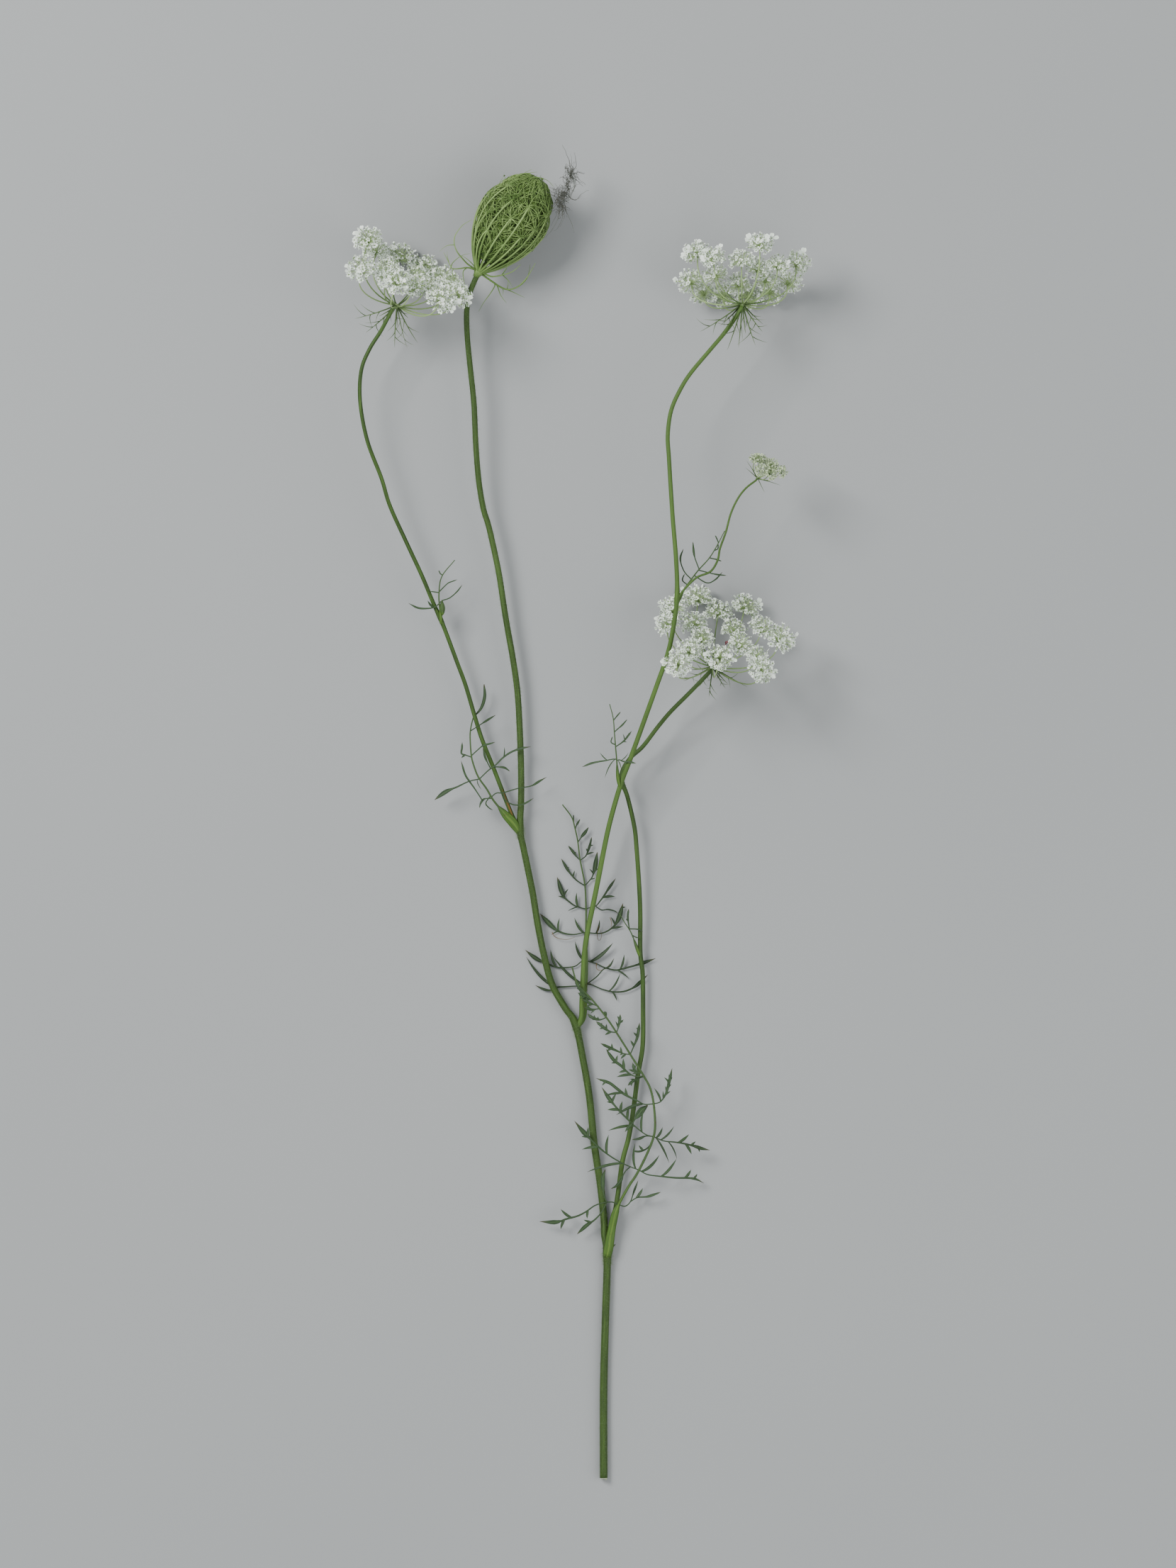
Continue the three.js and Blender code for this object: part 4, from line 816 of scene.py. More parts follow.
# %% Side ribs of the leaves
LEAF_SIDES = {
    "leaf_lower": [
        (8.9, 9, 0.5, [(9.3, -81.4), (6.8, -79.6), (4.8, -78.6), (3.2, -78.2)], []),
        (8.9, 8.9, 0.45, [(5.6, -77.2), (4.2, -76.3), (2.8, -75.8), (1.5, -75.2)], []),
        (8.8, 8.8, 0.75, [(6.8, -78.8), (5, -76.8), (2.6, -73.8), (0.2, -69.8)], []),
        (6.8, 4.5, 1, [
            (19.3, -164.5), (16.3, -163.9), (13.3, -164), (8.8, -165.3), (5.1, -167.9),
            (1.4, -169.8), (-3.1, -171), (-7.6, -172.4), (-14.7, -172.2)
        ], [(-5.7, -166.9), (-5.7, -175.4), (5.5, -170.9)]),
        (6.4, 4.2, 0.85, [
            (13.7, -164.2), (11.8, -167.9), (8.8, -171.3), (5.1, -173.9), (1.2, -177.6)
        ], [(4, -171.4)]),
        (7.2, 6.8, 0.95, [
            (13.7, -163.8), (12.6, -160.8), (12.1, -157.1), (12.2, -153.3), (13.2, -150)
        ], []),
        (4.6, 4.4, 0.5, [
            (19.3, -164.5), (21.5, -165.7), (23.8, -163.8), (25.4, -159.3), (27.1, -154.8)
        ], []),
        (5.2, 5.4, 0.6, [(23.8, -163.8), (26.8, -162), (31.2, -161.6), (36.7, -159.7)], [(29.1, -158)]),
        (7.8, 6.4, 1.1, [
            (27.5, -150.5), (23.8, -148.9), (20, -147.2), (16.3, -145.1), (12.6, -142.5),
            (9.6, -139.9), (6.6, -136.9), (3.6, -133.9), (0.1, -129.5)
        ], [
            (5.5, -151.1, 0.8), (3.3, -141.6, 0.8), (3.1, -136.2), (6, -132.1),
            (14.6, -135.3, 0.8), (25.8, -138.9, 0.7)
        ]),
        (6.2, 4.6, 0.7, [
            (23.8, -148.9), (21.5, -151.1), (19.7, -154.8), (17.8, -157.1), (15.6, -158.3)
        ], []),
        (8.8, 4, 0.55, [
            (27.9, -151.1), (31.2, -152.2), (37.2, -153), (43.2, -153.6), (48.4, -153.7),
            (51.8, -154.3), (55, -156)
        ], [(36.1, -143.8, 0.9), (43.3, -145.5, 0.8), (49.5, -150.2), (52.1, -152)]),
        (9.6, 7.6, 0.9, [
            (33.7, -136.8), (30.5, -135.3), (27.5, -133.2), (24.5, -130.6), (21.9, -128),
            (19.3, -125.4), (16.7, -122.4), (14.1, -119), (11.6, -115.1)
        ], [
            (14.4, -133.6, 0.8), (29.4, -124.8, 0.7), (14.1, -124.8), (13.8, -121.4),
            (23.2, -123.5), (20.4, -121.1), (17.8, -117.9), (13, -118.7)
        ]),
        (10.2, 9.2, 1.45, [
            (24.4, -131), (26, -128.4), (28.6, -125), (31.2, -122.8)
        ], [(21.5, -134.1, 0.9)]),
        (10, 6.5, 0.8, [
            (33.8, -136.8), (37.9, -137.9), (42.4, -138.4), (46.2, -139), (50.6, -140.1),
            (54, -141.2), (57.5, -141.9)
        ], [
            (37.4, -132.1, 0.7), (42.3, -131.7, 0.6), (40.2, -147.2, 0.6), (43.5, -145.5, 0.5),
            (48.6, -135.1), (51.4, -138.1), (49.7, -143.6), (53.1, -142.7)
        ]),
        (5.4, 5.2, 0.6, [(32.4, -136.2), (30.5, -135.9), (27.5, -137.1), (24.5, -137.5)], []),
        (5.6, 5.4, 0.45, [
            (32.1, -139.3), (30.5, -141.4), (27.5, -142.5), (24.7, -142.2)
        ], [(27.4, -139.8)]),
        (10.8, 8, 0.7, [
            (33.3, -122.8), (29.7, -122.4), (26.8, -120.9), (23.8, -119.5), (20.8, -117.8),
            (17.8, -115.5), (14.8, -113.3), (9.2, -111.4)
        ], [(11.1, -112.7), (21.7, -115.3), (17.8, -126.9, 0.95), (11.8, -114.5), (13, -118.7)]),
        (10.8, 9, 0.55, [
            (33.8, -122.8), (36.5, -121.3), (38.7, -118.1), (40, -113.8), (41.5, -107.1)
        ], [(33.8, -115.5, 0.65), (38.1, -111, 0.5)]),
        (10, 8, 0.8, [
            (28.6, -111.2), (25.3, -110.4), (22.3, -108.6), (19.7, -106), (17.1, -104.1),
            (14.8, -101.1), (13.5, -98.9)
        ], [(18, -110.8, 0.8), (15.7, -105), (18.5, -101.6), (20.8, -103), (18.9, -109)]),
        (10.6, 10.2, 0.5, [
            (27.5, -110.1), (26, -108.6), (24.7, -104.8)
        ], [(23, -107.7), (26.9, -107.5)]),
        (8.6, 8, 0.6, [(27.9, -111.4), (25.3, -112.3), (22.7, -114.5)], []),
        (9.8, 9.4, 0.6, [
            (24.1, -101.3), (25.4, -97.4), (26.8, -93.7), (27.7, -87.8)
        ], [(23.8, -95.3), (25.1, -92), (26.2, -90.1)]),
        (9.4, 7.6, 0.7, [
            (24, -101.5), (20.8, -100.9), (17.8, -99.6), (14.8, -98.3), (11.1, -96.6)
        ], [(19.7, -98), (19.7, -103.2), (15.9, -96.6), (13.7, -100), (19.3, -101.6)]),
        (9.2, 8, 0.7, [
            (17.8, -92.3), (15.2, -91.6), (13, -90.3), (11.1, -88.8), (9.2, -87.3)
        ], [(13, -93.1), (10.7, -90.5), (13.7, -88.4), (11.7, -87.9)]),
        (9, 8.4, 0.6, [
            (18.3, -92.3), (18.7, -89.9), (19.3, -86.9), (19.5, -84.3)
        ], [(20.8, -87.3), (18.5, -88.4)]),
        (8.6, 7.6, 0.65, [
            (13.7, -86.2), (11.1, -86.6), (8.8, -86.2), (7, -85.3), (5.6, -84.1)
        ], [(8.5, -84.6), (7.7, -86.8), (10, -85.3)]),
        (8.8, 8.8, 0.35, [(13.7, -85.4), (13.3, -84), (12.6, -83.1)], []),
        (8.4, 8.2, 0.6, [(10.2, -81.9), (7.4, -82.3), (4.2, -81.3)], []),
        (8.4, 8.3, 0.5, [(7.7, -79.3), (5.1, -77.6), (2.9, -75.4)], [(5.3, -75), (3.6, -77.8)]),
    ],
    "leaf_middle": [
        (0.9, 0.9, 0.55, [
            (4.8, -71.9), (1.9, -72.5), (-0.1, -72.5), (-4.3, -72.8), (-7, -73), (-10.1, -74.3),
            (-13.2, -73.7), (-16.5, -72.1)
        ], [(-9.1, -59.7, 0.8), (-20.3, -60.1, 0.9)]),
        (1, 0.9, 0.95, [
            (5.2, -61.6), (3.3, -61.9), (0.6, -64), (-2.9, -64.6), (-6.3, -64.7), (-9.8, -63.7),
            (-14.3, -61.8), (-17.4, -59.9), (-20.8, -57.1)
        ], [(0.4, -53.5, 0.75), (-10, -57, 0.7)]),
        (1.2, 1.4, 0.85, [
            (5.2, -71.2), (7.4, -71.9), (11.6, -73.7), (16.4, -74.9), (21.2, -74.7), (25.3, -73),
            (28.1, -70.6), (31.2, -67.6)
        ], [(19.6, -66.8, 0.6), (18.1, -78.8, 0.5)]),
        (2, 2.2, 0.42, [(7.4, -71.7), (9.5, -68.5), (12.3, -65.4), (15, -64), (16.9, -60.7)], []),
        (1.2, 1.4, 0.85, [
            (5.7, -61.4), (9.5, -63), (12.3, -64.4), (15.7, -65.4), (18.1, -65.7), (22.6, -64.6),
            (28.1, -63), (34.6, -60.7)
        ], [(16.4, -54.2, 1.1), (21.2, -59.1, 0.75), (23.3, -69.4, 0.5)]),
        (0.9, 0.9, 1.05, [
            (4.9, -50.2), (2.6, -50.1), (0.2, -50.6), (-2.9, -50.4), (-6, -49.5), (-8.7, -47.8),
            (-11.8, -44.7), (-14.5, -41.8)
        ], [(0.1, -43.5, 0.7), (-6.2, -43.7, 0.6), (-9.8, -50.8, 0.4)]),
        (1.2, 1.5, 1.05, [
            (5.7, -50.1), (10.5, -50.2), (13.6, -49.4), (16.4, -47.5), (18.1, -45.4), (19.5, -42),
            (20.7, -37.3)
        ], [(10.7, -44.4, 0.7), (15.4, -43.1, 0.5), (20.9, -47.3, 0.7), (21.7, -39.1)]),
        (0.9, 0.9, 1, [
            (4.8, -39.8), (2.6, -39.2), (-0.1, -38.2), (-2.9, -36.1), (-4.3, -34.7), (-5.6, -31.6),
            (-7.2, -26.3)
        ], [(1.1, -32.9, 0.7), (-2.4, -31.2, 0.6), (-6.9, -34.3, 0.45), (-2.8, -40.7, 0.35)]),
        (1.2, 1.6, 0.6, [
            (5.2, -39.6), (6.7, -39.2), (9.2, -38.5), (11.2, -36.1), (12.3, -34.7), (14.3, -31.6),
            (17.6, -26.8)
        ], [(17.4, -34.5, 0.75)]),
        (1.3, 1.3, 0.35, [(9.2, -38.7), (11.6, -40.2), (14.3, -40), (17.1, -40.6), (18.5, -41.6)], []),
        (1, 1, 0.6, [
            (4, -29.6), (1.2, -27.8), (-0.8, -25.8), (-2.9, -23), (-5.5, -18.4)
        ], [(0.3, -23.5, 0.5), (-2.1, -22, 0.45)]),
        (1.3, 1.8, 1, [
            (4.3, -29.4), (6.7, -27.5), (7.8, -25.8), (8.8, -22), (9.8, -15.6)
        ], [(6.4, -22.8, 0.45), (10.2, -22.7), (9, -26.8, 0.35)]),
        (1.3, 1.3, 0.6, [
            (2.4, -19.4), (0.9, -17.5), (-0.5, -15.5), (-2.5, -13)
        ], [(0.7, -15.5), (-1.4, -13.7)]),
        (1.6, 2, 0.6, [
            (2.8, -19.4), (4.7, -17.5), (5.7, -15.5), (6.7, -12.4), (7.4, -9.3)
        ], [(8.5, -15.7, 0.5), (8.1, -12.7, 0.45), (5, -14.1)]),
        (1.9, 2.3, 0.75, [(1.3, -11.1), (3.3, -8.9), (4.7, -7.2), (6.1, -5.1)], []),
        (2, 2.2, 0.45, [(0.6, -6), (0.9, -4.4), (2.5, -1.7)], []),
        (2.1, 2.2, 0.3, [(-0.5, -3.1), (-0.3, -1.3), (-0.3, 0.2)], []),
    ],
    "leaf_small": [
        (6.8, 7.2, 0.45, [(23.8, -48.2), (22.7, -43.3), (23.1, -39.6)], [(21.8, -44)]),
        (6.6, 7, 0.3, [(24.1, -47.6), (26.7, -48.3), (29.1, -49.2)], []),
        (6.2, 6.4, 0.25, [(24.8, -50.8), (25.9, -51.6), (27.1, -52)], []),
    ],
    "leaf_upper": [
        (8.8, 8.2, 0.55, [
            (-35.1, 7.3), (-33, 9.4), (-30.2, 9.5), (-24, 11.3), (-18.2, 12.4), (-14.9, 14.3),
            (-11.7, 16.1)
        ], []),
        (8.6, 8, 0.4, [(-30.2, 9.4), (-28.9, 6.2), (-25.6, 4.4), (-21.5, 4.7), (-17.2, 7.2)], []),
        (8.6, 8.2, 0.5, [(-35.3, 7), (-38, 6.9), (-39.6, 5), (-40.1, 3.1)], []),
        (8.4, 8, 0.3, [(-37.5, 6.9), (-37.4, 5.2), (-36.3, 3.3), (-34.5, 2.1)], []),
        (9, 9.6, 0.4, [
            (-38.8, 6.1), (-42.1, 11.2), (-44.1, 14), (-46.2, 17.3), (-47.9, 23.1)
        ], [(-45.8, 16.1)]),
        (9.4, 8.8, 0.6, [
            (-40, 15.4), (-36.3, 19), (-33.5, 21), (-30.2, 24.3), (-26.5, 26.8), (-22.3, 28.3),
            (-18.4, 29)
        ], [(-29.6, 28.8, 0.4)]),
        (9, 7.6, 0.95, [
            (-40.9, 14.9), (-44.6, 14.3), (-49.5, 12), (-54.4, 9.9), (-59.2, 6.4)
        ], [(-39.2, 10.8, 0.25)]),
        (10.2, 9.8, 0.45, [
            (-43.6, 25), (-41.3, 27.2), (-38.8, 29.3), (-35.9, 30.2), (-33.5, 30.9)
        ], []),
        (10.6, 10.4, 0.4, [
            (-43.7, 24.7), (-45.8, 25.4), (-47.7, 26.1), (-47.5, 28.4), (-47.4, 30.9)
        ], [(-47.7, 24.2)]),
        (10.4, 11, 0.55, [(-43.7, 35.4), (-40.4, 37.9), (-37.2, 40), (-33.3, 42.4)], []),
        (9, 7.8, 0.5, [(-34.2, 20.4), (-31.4, 20.4), (-29.3, 20), (-27.3, 18.6)], []),
        (9.4, 9.8, 0.5, [(-35.4, 19.7), (-37.6, 24.3), (-38.6, 28.4)], []),
    ],
    "leaf_bud": [
        (12.8, 13, 0.3, [
            (-56.7, 89.5), (-59, 88.1), (-61.8, 87.5), (-66, 87.7), (-70.1, 89.7)
        ], [(-62, 90.8)]),
        (12.6, 12.2, 0.3, [(-56.4, 90), (-55.3, 91), (-52.6, 92), (-49.5, 94.7), (-47.4, 97.5)], []),
        (12.8, 12.6, 0.28, [(-56.9, 94.4), (-53.6, 98), (-51.6, 98.9), (-49.5, 99.7)], []),
        (12.9, 12.9, 0.25, [(-57.1, 94.1), (-58.7, 94.4), (-60.8, 94.7)], []),
        (13, 12.8, 0.25, [(-55.7, 101.5), (-56.7, 102.3), (-57.3, 103.6)], []),
    ],
    "leaf_fork": [
        (18.4, 17.4, 0.5, [
            (17.9, 23.6), (16.5, 23.7), (13.4, 23.1), (10.3, 22.6), (7.2, 21.9), (3.4, 20.4)
        ], [(10.9, 26.5, 0.35), (13, 15.8, 0.38)]),
        (19.6, 20.4, 0.35, [
            (18.2, 23.2), (19.2, 23.4), (20.3, 22.9), (21.7, 22.6), (23, 22.6), (26.2, 21.9)
        ], [(23, 26.5, 0.28), (19.8, 19.5, 0.28)]),
        (19.6, 19.8, 0.4, [
            (17.8, 28.8), (19.6, 30.3), (21.3, 31.7), (23, 33.9), (24.3, 35.6)
        ], [(20.6, 34.4, 0.3), (22.3, 30.9, 0.3)]),
        (19.2, 19, 0.26, [(17.3, 29.6), (15.6, 30.9), (16.2, 33.3)], []),
        (19.6, 19.6, 0.38, [(17.2, 35), (18.9, 36.9), (20.3, 38.1), (22.4, 40.5)], []),
        (19.6, 19.6, 0.32, [(16.7, 40), (17.9, 41.7), (19.6, 43.7)], []),
    ],
    "leaf_twig": [
        (28.8, 28.4, 0.42, [(49, 100), (46.4, 103), (44.8, 108.1), (46.1, 112.5)], []),
        (28.9, 28.7, 0.3, [(47.2, 97.8), (45.7, 99.2), (46.6, 101.9)], []),
        (28.8, 28.4, 0.5, [(52.4, 104), (50.7, 109.6), (50.1, 115.5)], []),
        (28.8, 28.4, 0.36, [(52.8, 103.4), (56.6, 102.4), (60.3, 101.6), (64.3, 101.2)], []),
        (28.6, 28.4, 0.34, [(51.5, 100.8), (55.9, 98.1), (59.5, 99.4), (62.6, 102.7)], []),
        (29.2, 29, 0.32, [(57.4, 108.3), (60.3, 107.9), (62.2, 107.2)], []),
        (29.6, 29.5, 0.3, [(60.9, 114.8), (60.3, 116.5), (59.5, 118.1)], []),
        (29.6, 29.6, 0.3, [(60.8, 110.6), (60.6, 112.5), (60.8, 114.5)], []),
    ],
}
print("side ribs:", {name: len(sides) for name, sides in LEAF_SIDES.items()})

# %% [markdown]
# The shape of a blade is one formula: a half wave whose crest is moved towards its foot. A side rib
# follows its route, widens into a narrow wing, and ends in such a blade. Its lobes start on its own
# middle line, so that no gap shows between them. On the lowest leaf the side ribs near the tip are
# finely cut, so a loop sets teeth on both edges of those with few lobes in the list.

# %% Lobes, teeth and side ribs
SIDE_RINGS = 24
LOBE_RINGS = 9
TOOTH_SPACING = 2.6
LOWEST_TIP = 0.5  # a lobe's tip stays this far above the table
RIB_TINT = 2.0  # marks ribs and sheaths for the leaf's finish


def lance(share, widest=0.42):
    """Half the width of a blade along its length: 0 at both ends and 1 at its widest."""
    power = math.log(0.5) / math.log(widest)
    return np.sin(math.pi * np.clip(share, 0, 1) ** power) ** 0.85


def lobe(bm, start, tip, ahead, half_width, tint):
    """A pointed lobe with a broad foot. It sets out along `ahead` and bends to its tip."""
    length = np.linalg.norm(tip - start)
    bend = start + 0.4 * length * unit(0.55 * ahead + unit(tip - start))
    share = np.linspace(0, 1, LOBE_RINGS)
    width = half_width * np.interp(share, [0, 0.2, 0.45, 0.75, 1], [0.55, 0.86, 1, 0.62, 0.05])
    face = unit(UP + 0.3 * rng.normal(size=3) * [1, 1, 0])
    thickness = np.linspace(0.12, 0.04, LOBE_RINGS)
    line = bezier([start, bend, tip], LOBE_RINGS)
    stalk(bm, line, width, thickness, sides=8, face=face, fold=0.2, tint=tint)


def side_rib_line(rib_line, heights, points):
    """The route of a side rib, lifted from the drawing to its heights."""
    middle_height, tip_height = heights
    flat = np.array([[x, y, 0.0] for x, y in points])
    start = nearest(rib_line[:, :2], flat[0, :2])
    on_rib = np.linalg.norm(rib_line[start, :2] - flat[0, :2]) < 3.0
    if on_rib:
        flat[0, :2] = rib_line[start, :2]
    first_height = rib_line[start, 2] if on_rib else middle_height
    line = route(flat, SIDE_RINGS)
    share = np.linspace(0, 1, SIDE_RINGS)
    line[:, 2] = np.interp(share, [0, 0.5, 1], [first_height, middle_height, tip_height])
    line[1:-1, 2] = (line[:-2, 2] + line[1:-1, 2] + line[2:, 2]) / 3
    return line


def teeth(bm, line, length, tint):
    """Short forward lobes on both edges of a side rib."""
    count = int(length / TOOTH_SPACING)
    for i in range(count):
        spot = int((0.34 + 0.56 * i / count) * (SIDE_RINGS - 1))
        ahead = unit(line[spot + 1] - line[spot])
        aside = np.cross(ahead, UP) * (1 if i % 2 else -1)
        reach = rng.uniform(1.8, 2.6) * (1.1 - 0.5 * i / count)
        tip = line[spot] + reach * (0.8 * ahead + 0.66 * aside) + [0, 0, rng.uniform(-0.1, 0.1)]
        tip[2] = max(tip[2], LOWEST_TIP)
        lobe(bm, line[spot - 1], tip, ahead, 0.42, tint)


def side_rib(bm, line, half_width, lobes, tint, toothed):
    """A side rib that widens into a wing, with an end lobe and its side lobes."""
    share = np.linspace(0, 1, SIDE_RINGS)
    length = np.linalg.norm(np.diff(line, axis=0), axis=1).sum()
    end = min(0.75, (5.0 + 5.0 * half_width) / length)
    tint = np.clip(tint + rng.normal(0, 0.12), 0, 1)
    wing = (0.4 if toothed else 0.16 if lobes else 0.0) * np.clip((share - 0.2) / 0.4, 0, 1)
    width = np.maximum(0.26 + wing, half_width * lance((share - 1 + end) / end, 0.45))
    width = np.minimum(width, 0.04 + 6.0 * (1 - share) * half_width)
    thickness = 0.26 - 0.2 * np.clip(share / (1.02 - end), 0, 1)
    face = unit(UP + 0.2 * rng.normal(size=3) * [1, 1, 0])
    stalk(bm, line, width, thickness, sides=8, face=face, fold=0.15, tint=tint)
    if toothed and len(lobes) < 3:
        teeth(bm, line, length, tint)
    for x, y, *given in lobes:
        spot = nearest(line[:, :2], (x, y))
        away = np.linalg.norm(line[spot, :2] - (x, y))
        base = max(1, spot - int(round(0.75 * away / length * SIDE_RINGS)))
        reach = np.linalg.norm(line[base, :2] - (x, y))
        tip = np.array([x, y, line[spot, 2] + rng.uniform(-0.05, 0.16) * reach])
        tip[2] = max(tip[2], LOWEST_TIP)
        wide = 0.8 * given[0] if given else min(0.66, 0.28 + 0.08 * reach)
        ahead = unit(line[min(base + 1, SIDE_RINGS - 1)] - line[base])
        lobe(bm, line[base], tip, ahead, wide, np.clip(tint + rng.normal(0, 0.12), 0, 1))


print("a blade's width along its length:", lance(np.linspace(0, 1, 5)).round(2))

# %% [markdown]
# The main rib of a leaf starts as a sheath: a boat-shaped base that clasps the stem where the branch
# leaves it. It is widest a little above the node. The sheath of the lowest leaf wraps its branch
# all round. A few lobes have withered and curled, and these thin curls are listed on their own.
# Then each leaf is grown from its lists, with what only that leaf has.

# %% Whole leaves
LEAF_TINTS = {"leaf_lower": 0.45, "leaf_middle": 0.05, "leaf_upper": 0.4, "leaf_small": 0.1}
RIB_RINGS = 90
HAIRY_FROM = 18  # the ring of the lowest leaf's rib where its short hairs start
LEAF_BRISTLES, LEAF_BRISTLE_LENGTH = 360, 0.55
TOOTHED_FROM = -126.0  # on the lowest leaf, side ribs that start beyond this are toothed
WITHERED_TINT = -1.0  # marks a part of a leaf that has turned brown
WITHERED_ENDS = {
    "leaf_middle": [
        [(-9.4, -49.6, 1.2), (-8.4, -51.4, 1.6), (-6, -52.4, 1.8), (-3, -52.7, 1.6),
         (0.2, -51.8, 1.2)],
        [(10.4, -47, 1.4), (9.8, -50, 2), (10, -52.6, 2.2), (11, -53, 2.2), (11.6, -51, 2),
         (11, -48.4, 1.6)],
        [(15.2, -43.4, 2.4), (15.8, -45.4, 2.6), (15.6, -47.7, 2.4)],
        [(9.5, -62.8, 1.4), (9.4, -64.8, 1.8), (10.8, -65.8, 2), (13.4, -64.9, 2), (15.2, -62.8, 2.2)],
        [(7.2, -71.6, 1.2), (6, -71.2, 1.6), (5.1, -72, 1.9), (5.4, -73, 1.9), (5.7, -75.8, 1.6)],
    ],
}


def sheathed_rib(bm, rib, radius, sheath_to, sheath_width, wraps):
    """The main rib with its sheath. The sheath's edges bend down round the branch. It is a boat,
    or where it `wraps` the branch all the way a tube that narrows."""
    line = route(rib, RIB_RINGS)
    share = np.linspace(0, 1, RIB_RINGS)
    run = np.clip(share / sheath_to, 0, 1)
    boat = np.sin(math.pi * (0.12 + 0.88 * run)) ** 0.8
    tube = np.interp(run, [0, 0.12, 0.5, 0.75, 0.87, 1.0], [0.8, 1.0, 0.8, 0.76, 0.6, 0.0])
    width = radius * (1 - 0.5 * share) + (sheath_width - radius) * (tube if wraps else boat)
    thickness = radius * (1 - 0.5 * share)
    hug = np.where(share < sheath_to, -0.32, 0.05)
    stalk(bm, line, width, thickness, sides=16, ribs=0.03, tint=RIB_TINT, fold=hug)
    return line, width


def bud(bm, foot):
    """A closed young head: a few pointed bracts round a small bud."""
    for turn in range(7):
        angle = 2 * math.pi * turn / 7
        out = np.array([math.cos(angle), 0.0, math.sin(angle)])
        swell = foot + [0, 2.2, 0] + 1.2 * out
        tip = foot + [-0.2, 5.2 + 0.7 * (turn % 3), 0] + 0.35 * out
        wide = 0.62 * lance(np.linspace(0, 1, 9), 0.4) + 0.06
        line = bezier([foot, swell, swell + [0, 1.2, 0], tip], 9)
        stalk(bm, line, wide, 0.2, sides=6, face=out, tint=RIB_TINT)


for name, (radius, sheath_to, sheath_width, rib) in LEAF_RIBS.items():
    bm = bmesh.new()
    line, width = sheathed_rib(bm, rib, radius, sheath_to, sheath_width, name == "leaf_lower")
    for middle_height, tip_height, half_width, points, lobes in LEAF_SIDES[name]:
        side_line = side_rib_line(line, (middle_height, tip_height), points)
        toothed = name == "leaf_lower" and side_line[0, 1] > TOOTHED_FROM
        side_rib(bm, side_line, half_width, lobes, LEAF_TINTS.get(name, 0.5), toothed)
    if name == "leaf_lower":
        hairy, half_width = line[HAIRY_FROM:], 0.9 * width[HAIRY_FROM:]
        bristles_on(bm, hairy, half_width, LEAF_BRISTLES, LEAF_BRISTLE_LENGTH)
        spur = np.array([(16.2, -182.9, 3.4), (17.0, -182.3, 3.4), (17.6, -181.7, 3.3)])
        stalk(bm, spur, [0.5, 0.3, 0.04], 0.2, sides=6, tint=RIB_TINT)
    for points in WITHERED_ENDS.get(name, []):
        curl = route(points, 16)
        taper = 0.17 * np.linspace(1.0, 0.4, 16)
        stalk(bm, curl, taper, 0.1, sides=6, tint=WITHERED_TINT + 0.5 * rng.random())
    if name == "leaf_upper":
        rim = route([(-25.4, -2.4, 6.6), (-26.7, 1.2, 6.7), (-28.6, 6, 6.9), (-30.6, 11.4, 7)], 12)
        stalk(bm, rim, 0.42 * lance(np.linspace(0.02, 0.98, 12)), 0.1, tint=WITHERED_TINT)
        end = [(-42.6, 41.6, 5.4), (-39.4, 45.4, 5.3), (-37.9, 50.4, 5.6), (-38.2, 55.4, 6)]
        width = 0.2 + 0.5 * lance(np.linspace(0, 1, 16), 0.55)
        stalk(bm, route(end, 16), width, 0.1, sides=8, tint=0.3)
    if name == "leaf_bud":
        bud(bm, np.array([-55.7, 84.6, 12.4]))
    piece(name + "_cut", bm, leaf_green, "leaf_green", name)

# %% [markdown]
# ## Umbels
#
# The rays of an open head leave a small knob nearly at right angles to the stalk and curve up, so
# the head is a shallow bowl. Each ray ends in an umbellet: a spray of thin flower stalks, each with
# a floret of five petals. The florets stand on a dome. At the outer edge of the head they have
# larger petals that point outwards, which makes the lace edge.
#
# Under the knob hang bracts, which are cut into threads, and under each umbellet a few tiny ones.
#
# Each head is drawn in its own upright frame and then tilted as a whole. That keeps the lists
# simple: an umbellet's place is an angle round the axis, a distance from it and a height.

